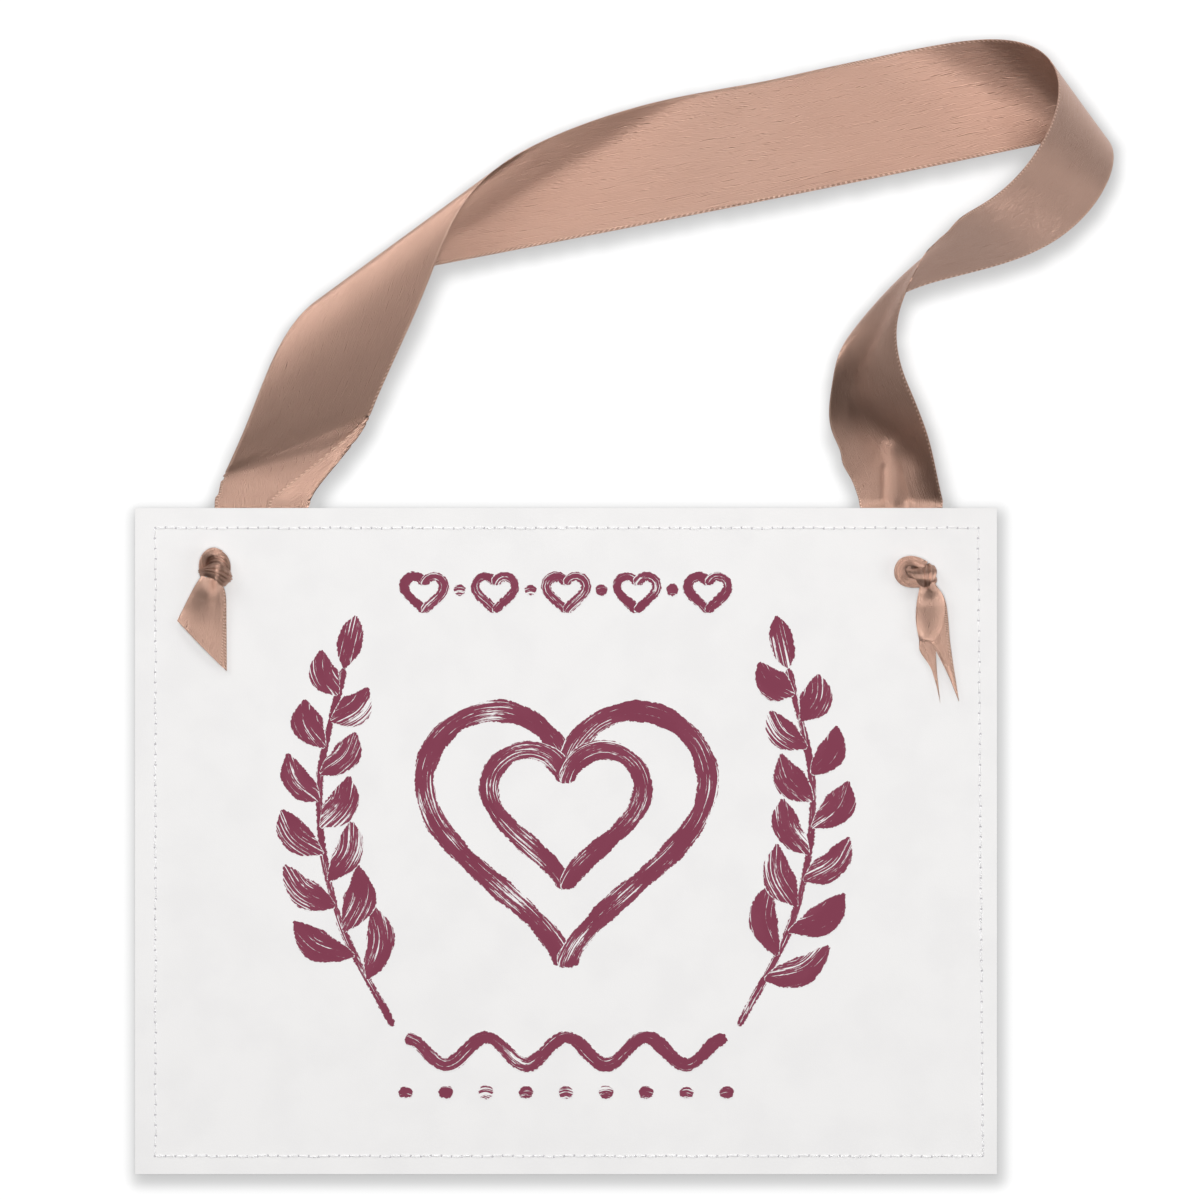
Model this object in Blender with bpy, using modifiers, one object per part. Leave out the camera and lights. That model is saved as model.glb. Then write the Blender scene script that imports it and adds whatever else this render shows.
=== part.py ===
"""Party sign: two cards sewn together, hung on one satin ribbon that is knotted through two holes.

The sign lies on a table, front face up (+Z), top edge towards +Y, with the ribbon loop thrown over itself.
All sizes are in millimetres in the card's own frame: X from the card's middle, Y from its top edge and Z from
the table. MM turns them into Blender's metres. The frame's empty moves the whole sign so that the scene's
origin is under the middle of the sign as it lies.
"""
import math

import bmesh
import bpy
import numpy as np
from mathutils import Vector

MM = 0.001

# The two cards, one behind the other
CARD_WIDTH = 279.4
CARD_HEIGHT = 215.9
SHEET_THICKNESS = 0.4
SHEET_GAP = 0.1

# The punched holes, measured from the card's sides and top edge
HOLE_DIAMETER = 5.0
HOLE_FROM_SIDE = 25.7
HOLE_FROM_TOP = 23.2

# The sewn seam: how far it runs inside each edge. On the right it wanders outwards from the top to the bottom
SEAM_FROM_TOP = 6.5
SEAM_FROM_LEFT = 6.6
SEAM_FROM_BOTTOM = 5.8
SEAM_FROM_RIGHT = (6.1, 4.6)
THREAD_DIAMETER = 0.3
THREAD_GAP = 0.1
SEAM_CORNER_RADIUS = 1.0
SEAM_CORNER_STEPS = 4

# The satin ribbon
RIBBON_WIDTH = 38.0
RIBBON_THICKNESS = 0.25
RIBBON_END_HEIGHT = 1.0
TABLE_CLEARANCE = 0.35
TABLE_SOFTNESS = 0.3

# The strap's hinge line runs along the card's top edge, a little outside it, with a slit on both sides
HINGE_FROM_EDGE = 2.0
HINGE_SLIT = 0.4

# Where the gathered ribbon passes the top edge: the left and right side of each end, from the hole below it
LEFT_END = (0.2, 31.0)
RIGHT_END = (-19.0, 8.2)

# How the strap lies: where its middle line starts, right of the left hole and above the card's edge, and its heading
STRAP_START_RIGHT = 20.0
STRAP_START_UP = 1.5
STRAP_HEADING = 70.5
STEP = 1.0

# The rolls on both sides of the long flat run: the run from the one before, the turn in degrees and the length
# over which it is spread. The long run and the run after the last roll close the strap onto the holes.
FIRST_ROLLS = (
    (17.0, -36.0, 30.0),
    (68.0, 158.0, 94.0),
    (60.0, 54.5, 49.0),
)
LAST_ROLLS = (
    (0.0, 165.5, 94.0),
    (57.0, 47.0, 46.0),
    (43.0, -80.0, 33.0),
    (43.0, -84.0, 23.0),
    (28.0, 19.5, 19.0),
)
LONG_RUN_UNDER_HOLE_SPACING = 41.0
LAST_RUN = 16.0

# The slant of the lines that the ribbon rolls about: how far such a line runs along the ribbon for each
# millimetre across it, at places measured from the strap's left end and back from its right end
FIRST_SLANTS = (
    (0.0, -0.55),
    (45.0, -1.55),
    (100.0, -1.65),
    (155.0, -2.7),
)
LAST_SLANTS = (
    (284.0, 0.0),
    (234.0, 1.4),
    (179.0, 0.1),
    (124.0, -0.25),
    (64.0, 1.4),
    (-5.0, -0.5),
)
START_EASES = (20.0, 32.0)
END_EASES = (44.0, 70.0)
ROW_TURN = 9.0
ROW_RUN = 24.0
STRAP_COLUMNS = 6

# The gathered leads behind the card
LEAD_PLEATS = 5
LEAD_PLEAT_HEIGHT = 0.85
LEAD_WALL = 0.3
LEAD_TABLE_GAP = 0.05
LEAD_WIDTH_AT_HOLE = 5.6
LEAD_PAST_HOLE = 3.2
LEAD_STEPS = 10
LEAD_NECK_GAP = 0.3

# The knots: an overhand knot in the gathered ribbon, drawn as the open trefoil curve
KNOT_LOOP = 1.75
KNOT_STRETCH = 1.1
KNOT_RISE = 1.95
KNOT_CUT = 0.7
KNOT_TURN_POINTS = 16
KNOT_CARD_GAP = 0.4
BAND_WIDTH = 1.7
BAND_THICKNESS = 2.0
BAND_SIDES = 10
KNOT_RING_COUNT = 50
NECK_RING_COUNT = 10
GAP_SKIP = 7
LEAST_KNOT_GAP = 0.4

# The loose tails: the ribbon is folded lengthwise and cut at a slant, which leaves a swallowtail
TAIL_GAP = 0.7
TAIL_SEAM_GAP = 0.28
TAIL_FOLD_SHARE = 0.2
TAIL_COLUMNS = 10
TAIL_ROWS = 10

# Each knot's middle, from its hole, and its turn in degrees
KNOTS = {
    "left": {"at": (-0.4, 4.2), "turn": -8.0},
    "right": {"at": (0.0, 2.8), "turn": 15.0},
}

# The curves that lead the tails, from the knot's end to the cut, and how they arch and drop
TAILS = {
    "left": {
        "fold": ((-1.4, -0.8), (-8.8, -5.2), (-13.3, -12.2)),
        "front": ((2.0, -0.8), (2.4, -14.1), (2.7, -28.4)),
        "back": ((2.0, -0.8), (2.0, -14.1), (2.2, -27.8)),
        "arch": 0.3,
        "drop": 0.5,
    },
    "right": {
        "fold": ((-1.7, -1.1), (-3.9, -8.9), (-2.3, -18.1)),
        "front": ((1.7, -0.3), (7.0, -16.8), (9.6, -37.7)),
        "back": ((1.7, -0.3), (3.3, -19.8), (3.6, -38.7)),
        "arch": 3.0,
        "drop": 0.5,
    },
}


def clear_scene():
    for item in list(bpy.data.objects):
        bpy.data.objects.remove(item, do_unlink=True)


def new_collection(name):
    collection = bpy.data.collections.new(name)
    bpy.context.scene.collection.children.link(collection)
    return collection


def new_material(name, colour, roughness):
    material = bpy.data.materials.new(name)
    material.use_nodes = True
    shader = material.node_tree.nodes["Principled BSDF"]
    shader.inputs["Base Color"].default_value = (*colour, 1.0)
    shader.inputs["Roughness"].default_value = roughness
    shader.inputs["Metallic"].default_value = 0.0
    return material


def add_empty(name, place, parent, collection):
    empty = bpy.data.objects.new(name, None)
    empty.empty_display_size = 5 * MM
    empty.location = Vector(place) * MM
    empty.parent = parent
    collection.objects.link(empty)
    return empty


def add_object(name, data, parent, place, material, collection):
    piece = bpy.data.objects.new(name, data)
    piece.location = Vector(place) * MM
    piece.parent = parent
    data.materials.append(material)
    collection.objects.link(piece)
    return piece


def smooth_step(u):
    u = np.clip(u, 0.0, 1.0)
    return u * u * (3.0 - 2.0 * u)


def mesh_from_rows(name, rows, origin, closed_rings):
    """A mesh through a grid of points, rows by columns, as seen from its object's origin."""
    count, width = rows.shape[:2]
    work = bmesh.new()
    grid = [[work.verts.new(tuple((point - origin) * MM)) for point in row] for row in rows]
    last = width if closed_rings else width - 1
    for i in range(count - 1):
        for j in range(last):
            k = (j + 1) % width
            work.faces.new((grid[i][j], grid[i][k], grid[i + 1][k], grid[i + 1][j]))
    if closed_rings:
        work.faces.new(list(reversed(grid[0])))
        work.faces.new(grid[-1])
        bmesh.ops.recalc_face_normals(work, faces=work.faces)
    mesh = bpy.data.meshes.new(name)
    work.to_mesh(mesh)
    work.free()
    mesh.shade_smooth()
    mesh.set_sharp_from_angle(angle=math.radians(50))
    return mesh


def add_cloth(name, rows, parent, origin, material, collection):
    """A thin ribbon surface through rows of points, given its thickness by Solidify."""
    mesh = mesh_from_rows(name, rows, origin, closed_rings=False)
    piece = add_object(name, mesh, parent, (0, 0, 0), material, collection)
    solid = piece.modifiers.new("thickness", "SOLIDIFY")
    solid.thickness = RIBBON_THICKNESS * MM
    solid.offset = 0.0
    return piece


# The card


def lead_top():
    return LEAD_TABLE_GAP + LEAD_PLEAT_HEIGHT + LEAD_WALL


def card_levels():
    """The heights of both sheets' back faces and of the card's front: the card lies on the gathered leads."""
    back = lead_top() + THREAD_DIAMETER + THREAD_GAP
    middle = back + SHEET_THICKNESS
    front = middle + SHEET_GAP
    return {"back_sheet": back, "front_sheet": front, "front_face": front + SHEET_THICKNESS}


def hole_places():
    x = CARD_WIDTH / 2 - HOLE_FROM_SIDE
    return {"left": (-x, -HOLE_FROM_TOP), "right": (x, -HOLE_FROM_TOP)}


def add_sheet(name, base, holes, parent, material, parts, cutters):
    bpy.ops.mesh.primitive_cube_add(size=1.0)
    sheet = bpy.context.object
    sheet.name = name
    sheet.data.name = name
    sheet.scale = Vector((CARD_WIDTH, CARD_HEIGHT, SHEET_THICKNESS)) * MM
    bpy.ops.object.transform_apply(location=False, rotation=False, scale=True)
    sheet.location = Vector((0, -CARD_HEIGHT / 2, base + SHEET_THICKNESS / 2)) * MM
    sheet.parent = parent
    sheet.data.materials.append(material)
    for side, (x, y) in holes.items():
        bpy.ops.mesh.primitive_cylinder_add(vertices=32, radius=HOLE_DIAMETER / 2 * MM, depth=4 * SHEET_THICKNESS * MM)
        punch = bpy.context.object
        punch.name = f"punch_{name}_{side}"
        punch.location = Vector((x, y, base + SHEET_THICKNESS / 2)) * MM
        punch.parent = parent
        punch.hide_render = True
        punch.display_type = "WIRE"
        bpy.context.collection.objects.unlink(punch)
        cutters.objects.link(punch)
        cut = sheet.modifiers.new(f"{side} hole", "BOOLEAN")
        cut.operation = "DIFFERENCE"
        cut.object = punch
    bpy.context.collection.objects.unlink(sheet)
    parts.objects.link(sheet)
    return sheet


def seam_path():
    """The seam's four sides with its rounded corners, from corner to corner."""
    left = -CARD_WIDTH / 2 + SEAM_FROM_LEFT + SEAM_CORNER_RADIUS
    right_high, right_low = (CARD_WIDTH / 2 - inset - SEAM_CORNER_RADIUS for inset in SEAM_FROM_RIGHT)
    top = -SEAM_FROM_TOP - SEAM_CORNER_RADIUS
    bottom = -CARD_HEIGHT + SEAM_FROM_BOTTOM + SEAM_CORNER_RADIUS
    centres = ((right_high, top), (left, top), (left, bottom), (right_low, bottom))
    path = []
    for corner, (x, y) in enumerate(centres):
        for step in range(SEAM_CORNER_STEPS + 1):
            angle = math.radians(90 * (corner + step / SEAM_CORNER_STEPS))
            path.append((x + SEAM_CORNER_RADIUS * math.cos(angle), y + SEAM_CORNER_RADIUS * math.sin(angle)))
    return path


def add_thread(name, height, parent, material, collection):
    curve = bpy.data.curves.new(name, "CURVE")
    curve.dimensions = "3D"
    curve.bevel_depth = THREAD_DIAMETER / 2 * MM
    curve.bevel_resolution = 2
    curve.render_resolution_u = 0
    points = seam_path()
    spline = curve.splines.new("POLY")
    spline.points.add(len(points) - 1)
    for point, (x, y) in zip(spline.points, points):
        point.co = (x * MM, y * MM, 0.0, 1.0)
    spline.use_cyclic_u = True
    return add_object(name, curve, parent, (0, 0, height), material, collection)


# The strap


def roll_places():
    """Each roll's place along the ribbon, and the ribbon's length from card to card."""
    holes = hole_places()
    long_run = holes["right"][0] - holes["left"][0] - LONG_RUN_UNDER_HOLE_SPACING
    place = 0.0
    rolls = []
    for run, turn, spread in FIRST_ROLLS:
        place += run
        rolls.append((place, turn, spread))
    place += long_run
    for run, turn, spread in LAST_ROLLS:
        place += run
        rolls.append((place, turn, spread))
    return rolls, place + LAST_RUN


def turn_rate(places, rolls):
    """Degrees of turn for each millimetre along the ribbon: each roll is tightest at its middle."""
    rate = np.zeros_like(places)
    for middle, turn, spread in rolls:
        u = np.clip(2.0 * (places - middle) / spread, -1.0, 1.0)
        rate += 1.5 * turn / spread * (1.0 - u * u)
    return rate


def slant_at(places, length):
    """The slant of the ruling lines, on a smooth curve through the values given from both ends."""
    at = np.array([place for place, slant in FIRST_SLANTS] + [length - place for place, slant in LAST_SLANTS])
    value = np.array([slant for place, slant in FIRST_SLANTS + LAST_SLANTS])
    lean = np.zeros(len(at))
    lean[1:-1] = (value[2:] - value[:-2]) / (at[2:] - at[:-2])
    i = np.clip(np.searchsorted(at, places, side="right") - 1, 0, len(at) - 2)
    gap = at[i + 1] - at[i]
    u = np.clip((places - at[i]) / gap, 0.0, 1.0)
    start = (2 * u**3 - 3 * u**2 + 1) * value[i] + (u**3 - 2 * u**2 + u) * gap * lean[i]
    return start + (3 * u**2 - 2 * u**3) * value[i + 1] + (u**3 - u**2) * gap * lean[i + 1]


def turned(vector, axis, angle):
    """The vector turned about a unit axis."""
    return (vector * math.cos(angle) + np.cross(axis, vector) * math.sin(angle)
            + axis * np.dot(axis, vector) * (1.0 - math.cos(angle)))


def lay_ribbon():
    """Walks along the ribbon, turning it about its ruling lines, so that it stays a flat strip, only rolled.

    It gives the places walked, the middle line and, at each place, the ruling line's vector for each
    millimetre across the ribbon.
    """
    rolls, length = roll_places()
    places = np.linspace(0.0, length, int(length / STEP) + 1)
    middles = 0.5 * (places[1:] + places[:-1])
    rate = np.radians(turn_rate(middles, rolls))
    slants = slant_at(places, length)
    step_slants = slant_at(middles, length)
    step = places[1] - places[0]
    heading = math.radians(STRAP_HEADING)
    along = np.array((math.cos(heading), math.sin(heading), 0.0))
    across = np.array((-math.sin(heading), math.cos(heading), 0.0))
    point = np.array((hole_places()["left"][0] + STRAP_START_RIGHT, STRAP_START_UP, RIBBON_END_HEIGHT))
    line = [point]
    rulings = [across + slants[0] * along]
    for i, (speed, slant) in enumerate(zip(rate, step_slants)):
        axis = across + slant * along
        axis /= np.linalg.norm(axis)
        next_along = turned(along, axis, speed * step)
        across = turned(across, axis, speed * step)
        point = point + 0.5 * (along + next_along) * step
        along = next_along
        line.append(point)
        rulings.append(across + slants[i + 1] * along)
    return places, np.array(line), np.array(rulings)


def row_places(places):
    """Places for the strap's rows: close together where it rolls, wide apart where it lies flat."""
    rate = np.abs(turn_rate(places, roll_places()[0]))
    effort = np.concatenate(((0.0,), np.cumsum((rate[1:] / ROW_TURN + 1.0 / ROW_RUN) * np.diff(places))))
    count = int(math.ceil(effort[-1])) + 1
    return np.interp(np.linspace(0.0, effort[-1], count), effort, places)


def end_row(sides, offsets):
    """The straight row where the gathered ribbon passes the hinge line, from its right side to its left."""
    share = (offsets / RIBBON_WIDTH + 0.5)[:, None]
    y = HINGE_FROM_EDGE + HINGE_SLIT
    right = np.array((sides[1], y, RIBBON_END_HEIGHT))
    left = np.array((sides[0], y, RIBBON_END_HEIGHT))
    return right + (left - right) * share


def end_sides():
    """The left and right side of each gathered end, where it passes the top edge."""
    holes = hole_places()
    return {
        "left": [holes["left"][0] + offset for offset in LEFT_END],
        "right": [holes["right"][0] + offset for offset in RIGHT_END],
    }


def strap_rows():
    """The strap's surface as rows of points across the ribbon, closed onto its two end rows."""
    places, line, rulings = lay_ribbon()
    at = row_places(places)
    offsets = np.linspace(-RIBBON_WIDTH / 2, RIBBON_WIDTH / 2, STRAP_COLUMNS + 1)
    middle = np.stack([np.interp(at, places, line[:, axis]) for axis in range(3)], axis=1)
    ruling = np.stack([np.interp(at, places, rulings[:, axis]) for axis in range(3)], axis=1)
    rows = middle[:, None, :] + offsets[None, :, None] * ruling[:, None, :]
    sides = end_sides()
    first = end_row(sides["left"], offsets)
    last = end_row(sides["right"], offsets)
    start_ease = np.linspace(*START_EASES, STRAP_COLUMNS + 1)
    end_ease = np.linspace(*END_EASES, STRAP_COLUMNS + 1)
    start = 1.0 - smooth_step(at[:, None] / start_ease)
    finish = 1.0 - smooth_step((at[-1] - at)[:, None] / end_ease)
    rows += start[:, :, None] * (first - rows[0]) + finish[:, :, None] * (last - rows[-1])
    height = rows[:, :, 2] - TABLE_CLEARANCE
    rows[:, :, 2] = TABLE_CLEARANCE + TABLE_SOFTNESS * np.logaddexp(0.0, height / TABLE_SOFTNESS)
    return rows


# The leads


def lead_rings(sides, hole):
    """Rings along a gathered lead: a pleated sheet that narrows from the hinge line to below the hole."""
    columns = 4 * LEAD_PLEATS + 1
    share = np.linspace(0.0, 1.0, columns)
    wave = np.cos(2.0 * np.pi * LEAD_PLEATS * share)
    far_y = hole[1] - LEAD_PAST_HOLE
    near_y = HINGE_FROM_EDGE - HINGE_SLIT
    low = LEAD_TABLE_GAP + (LEAD_PLEAT_HEIGHT + LEAD_WALL) / 2
    rings = []
    for u in np.linspace(0.0, 1.0, LEAD_STEPS + 1):
        draw = smooth_step(u / 0.85)
        left = sides[0] + (hole[0] - LEAD_WIDTH_AT_HOLE / 2 - sides[0]) * draw
        right = sides[1] + (hole[0] + LEAD_WIDTH_AT_HOLE / 2 - sides[1]) * draw
        x = left + (right - left) * share
        y = np.full(columns, near_y + (far_y - near_y) * u)
        level = RIBBON_END_HEIGHT + (low - RIBBON_END_HEIGHT) * draw
        z = level + LEAD_PLEAT_HEIGHT / 2 * wave * draw
        wall = RIBBON_THICKNESS + (LEAD_WALL - RIBBON_THICKNESS) * draw
        top = np.stack((x, y, z + wall / 2), axis=1)
        under = np.stack((x, y, z - wall / 2), axis=1)
        rings.append(np.concatenate((top, under[::-1])))
    return np.array(rings)


# The knots


def through_points(points, count):
    """A smooth curve through a few points, read at even steps of its length."""
    points = np.array(points, dtype=float)
    before = 2 * points[0] - points[1]
    after = 2 * points[-1] - points[-2]
    padded = np.vstack((before, points, after))
    fine = []
    for i in range(len(points) - 1):
        a, b, c, d = padded[i : i + 4]
        for u in np.linspace(0.0, 1.0, 24, endpoint=False):
            fine.append(0.5 * (2 * b + (c - a) * u + (2 * a - 5 * b + 4 * c - d) * u**2 + (3 * b - a - 3 * c + d) * u**3))
    fine.append(points[-1])
    fine = np.array(fine)
    run = np.concatenate(((0.0,), np.cumsum(np.linalg.norm(np.diff(fine, axis=0), axis=1))))
    at = np.linspace(0.0, run[-1], count)
    return np.stack([np.interp(at, run, fine[:, axis]) for axis in range(3)], axis=1)


def knot_path(hole, knot):
    """The gathered ribbon's middle line: up through the hole, round the overhand knot, out to the tail."""
    turn = math.radians(knot["turn"])
    card = card_levels()["front_face"]
    level = card + KNOT_CARD_GAP + KNOT_RISE + BAND_WIDTH / 2
    t = np.linspace(3 * math.pi - KNOT_CUT, math.pi + KNOT_CUT, KNOT_TURN_POINTS)
    x = KNOT_LOOP * (np.sin(t) + 2 * np.sin(2 * t))
    y = KNOT_LOOP * KNOT_STRETCH * (np.cos(t) - 2 * np.cos(2 * t))
    z = level + KNOT_RISE * np.sin(3 * t)
    rise = ((1.10 * x[0], y[0] - 2.2, level - 0.55 * KNOT_RISE), (1.06 * x[0], y[0] - 1.55, level + 0.5 * KNOT_RISE))
    way_out = (1.08 * x[-1], y[-1] - 3.0, level - 0.8 * KNOT_RISE)
    local = np.vstack((rise, np.stack((x, y, z), axis=1), way_out))
    laid = np.stack((
        hole[0] + knot["at"][0] + local[:, 0] * math.cos(turn) - local[:, 1] * math.sin(turn),
        hole[1] + knot["at"][1] + local[:, 0] * math.sin(turn) + local[:, 1] * math.cos(turn),
        local[:, 2],
    ), axis=1)
    neck = ((hole[0], hole[1], lead_top() + LEAD_NECK_GAP), (hole[0], hole[1], card))
    return through_points(np.vstack((neck, laid)), KNOT_RING_COUNT)


def band_rings(path, centre):
    """Rings of a flattened band along a path, its thickness turned level and away from the centre."""
    rings = []
    angles = np.linspace(0.0, 2.0 * math.pi, BAND_SIDES, endpoint=False)
    ahead = np.gradient(path, axis=0)
    for point, direction in zip(path, ahead):
        direction = direction / np.linalg.norm(direction)
        outward = (point - centre) * np.array((1.0, 1.0, 0.0))
        outward = outward - direction * np.dot(outward, direction)
        outward /= np.linalg.norm(outward)
        side = np.cross(direction, outward)
        rings.append([point + 0.5 * BAND_WIDTH * math.cos(a) * side + 0.5 * BAND_THICKNESS * math.sin(a) * outward
                      for a in angles])
    return np.array(rings)


def least_self_gap(rings):
    """The least distance between the skins of two turns of a band, on the points of its rings."""
    least = math.inf
    for i in range(len(rings) - GAP_SKIP):
        apart = rings[i][None, :, None, :] - rings[i + GAP_SKIP :, None, :, :]
        least = min(least, float(np.linalg.norm(apart, axis=3).min()))
    return least


# The tails


def line_through(points, u):
    """A point on the curve that passes three points at the start, the middle and the end."""
    start, middle, end = (np.array(point) for point in points)
    return start * (1 - u) * (1 - 2 * u) + middle * 4 * u * (1 - u) + end * u * (2 * u - 1)


def tail_rows(tail, knot_end):
    """A tail as rows of points, from one selvedge round the fold to the other.

    The ribbon is folded along its middle and gathered at the knot. Three curves lead it: its fold and the
    selvedges of the layer in front and the layer behind. The cut joins their ends, which makes the swallowtail.
    """
    rest = card_levels()["front_face"] + THREAD_GAP + THREAD_DIAMETER + TAIL_SEAM_GAP + RIBBON_THICKNESS / 2
    start_height = knot_end[2] - TAIL_GAP / 2
    shares = np.linspace(-1.0, 1.0, TAIL_COLUMNS + 1)
    rows = []
    for u in np.linspace(0.0, 1.0, TAIL_ROWS + 1):
        fold = line_through(tail["fold"], u)
        front = line_through(tail["front"], u)
        back = line_through(tail["back"], u)
        level = start_height + (rest - start_height) * smooth_step(u / tail["drop"])
        row = []
        for share in shares:
            side = abs(share)
            edge = front if share > 0 else back
            x, y = knot_end[:2] + fold + (edge - fold) * side
            layer = np.clip(share / TAIL_FOLD_SHARE, -1.0, 1.0)
            arch = tail["arch"] * math.sin(math.pi * side) * smooth_step(2 * u) if share > 0 else 0.0
            row.append((x, y, level + TAIL_GAP * (1 + layer) / 2 + arch))
        rows.append(row)
    return np.array(rows)


def build():
    clear_scene()
    parts = new_collection("party_sign")
    cutters = new_collection("cutters")
    card_stock = new_material("card_stock", (0.86, 0.845, 0.835), 0.85)
    thread = new_material("sewing_thread", (0.9, 0.89, 0.88), 0.7)
    satin = new_material("satin_ribbon", (0.47, 0.28, 0.2), 0.38)

    levels = card_levels()
    holes = hole_places()
    rows = strap_rows()

    low = np.minimum(rows.min(axis=(0, 1)), (-CARD_WIDTH / 2, -CARD_HEIGHT, 0.0))
    high = np.maximum(rows.max(axis=(0, 1)), (CARD_WIDTH / 2, 0.0, 0.0))
    centre = 0.5 * (low + high)
    frame = add_empty("card_frame", (-centre[0], -centre[1], 0.0), None, parts)

    for name in ("back_sheet", "front_sheet"):
        add_sheet(name, levels[name], holes, frame, card_stock, parts, cutters)
    proud = THREAD_GAP + THREAD_DIAMETER / 2
    add_thread("front_thread", levels["front_face"] + proud, frame, thread, parts)
    add_thread("back_thread", levels["back_sheet"] - proud, frame, thread, parts)

    hinge_place = np.array((0.0, HINGE_FROM_EDGE, RIBBON_END_HEIGHT))
    hinge = add_empty("strap_hinge", hinge_place, frame, parts)
    add_cloth("strap", rows, hinge, hinge_place, satin, parts)

    for side, sides in end_sides().items():
        hole = holes[side]
        rings = lead_rings(sides, hole)
        mesh = mesh_from_rows(f"{side}_lead", rings, np.zeros(3), closed_rings=True)
        add_object(f"{side}_lead", mesh, frame, (0, 0, 0), satin, parts)

        swivel_place = np.array((hole[0], hole[1], levels["front_face"]))
        swivel = add_empty(f"{side}_knot_swivel", swivel_place, frame, parts)
        path = knot_path(hole, KNOTS[side])
        rings = band_rings(path, path[NECK_RING_COUNT:].mean(axis=0))
        mesh = mesh_from_rows(f"{side}_knot", rings, swivel_place, closed_rings=True)
        add_object(f"{side}_knot", mesh, swivel, (0, 0, 0), satin, parts)
        gap = least_self_gap(rings)
        print(f"{side} knot: least gap to itself {gap:.2f} mm, wanted over {LEAST_KNOT_GAP} mm")

        rows = tail_rows(TAILS[side], path[-1])
        start = rows[0].mean(axis=0)
        tail_hinge = add_empty(f"{side}_tail_hinge", start - swivel_place, swivel, parts)
        add_cloth(f"{side}_tail", rows, tail_hinge, start, satin, parts)


build()
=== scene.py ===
# %% [markdown]
# # A party sign on a satin ribbon
#
# The sign is two cards sewn together round the border. One wide satin ribbon hangs it: each end comes from
# behind through a punched hole and is tied in an overhand knot on the front. It lies on a white table, seen
# from above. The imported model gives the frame, so every piece below is placed by the model's own measures.

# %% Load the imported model
import math
from functools import partialmethod

import bpy
import numpy as np
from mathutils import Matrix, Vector


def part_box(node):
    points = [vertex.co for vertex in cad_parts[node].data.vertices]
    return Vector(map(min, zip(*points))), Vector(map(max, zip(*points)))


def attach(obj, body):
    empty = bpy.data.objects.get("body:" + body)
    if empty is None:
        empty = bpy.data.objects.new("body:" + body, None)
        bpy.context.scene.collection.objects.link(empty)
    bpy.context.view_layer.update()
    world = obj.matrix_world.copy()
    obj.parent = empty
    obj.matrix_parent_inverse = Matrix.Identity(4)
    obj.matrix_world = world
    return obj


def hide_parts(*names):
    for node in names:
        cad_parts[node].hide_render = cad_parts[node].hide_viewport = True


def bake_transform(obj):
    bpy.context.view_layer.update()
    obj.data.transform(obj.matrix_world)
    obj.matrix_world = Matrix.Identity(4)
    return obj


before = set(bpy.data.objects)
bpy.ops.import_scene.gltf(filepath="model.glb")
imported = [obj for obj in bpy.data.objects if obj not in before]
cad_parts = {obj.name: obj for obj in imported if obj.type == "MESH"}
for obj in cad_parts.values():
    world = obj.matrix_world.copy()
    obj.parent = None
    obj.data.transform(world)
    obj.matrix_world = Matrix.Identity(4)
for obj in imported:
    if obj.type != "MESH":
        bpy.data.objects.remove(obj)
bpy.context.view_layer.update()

# %% [markdown]
# The sign is easiest to describe from its own card: millimetres, X from the card's middle, Y from its top
# edge and Z from the table. The box of the front card gives the step from there to the model's frame, so no
# number is typed twice. `in_frame` turns any list of such points into metres in the model's frame.

# %% The card's own frame
MM = 0.001
card_low, card_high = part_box("front_sheet")
CARD_MIDDLE = 0.5 * (card_low.x + card_high.x) / MM
CARD_TOP = card_high.y / MM
CARD_FACE = card_high.z / MM
CARD_WIDTH = (card_high.x - card_low.x) / MM
CARD_HEIGHT = (card_high.y - card_low.y) / MM
CARD_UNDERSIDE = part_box("back_sheet")[0].z / MM


def in_frame(points):
    """Points in the card's millimetres, as metres in the model's frame."""
    return (np.asarray(points, dtype=float) + np.array((CARD_MIDDLE, CARD_TOP, 0.0))) * MM


def clear_selection():
    for item in bpy.context.selected_objects:
        item.select_set(False)


clear_selection()
print(f"card {CARD_WIDTH:.1f} x {CARD_HEIGHT:.1f} mm, its face {CARD_FACE:.2f} mm above the table")

# %% [markdown]
# Finishes are sums over the surface, such as a band along the ribbon's edge times a row of dots. Blender
# adds such sums with Math nodes, which are slow to wire by hand. `Field` wraps one socket, and Python's own
# signs on it add the Math nodes. Any other node comes from one method of `Finish`.


# %% Shader sums as Python expressions
def make_node(tree, kind, settings, sockets, output=0):
    """Any node: its settings are set first, then its sockets, each a number, a colour or a field."""
    node = tree.nodes.new(kind)
    for name, value in settings.items():
        setattr(node, name, value)
    for name, value in sockets.items():
        if isinstance(value, Field):
            tree.links.new(value.socket, node.inputs[name])
        else:
            node.inputs[name].default_value = value
    return Field(node.outputs[output])


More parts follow.
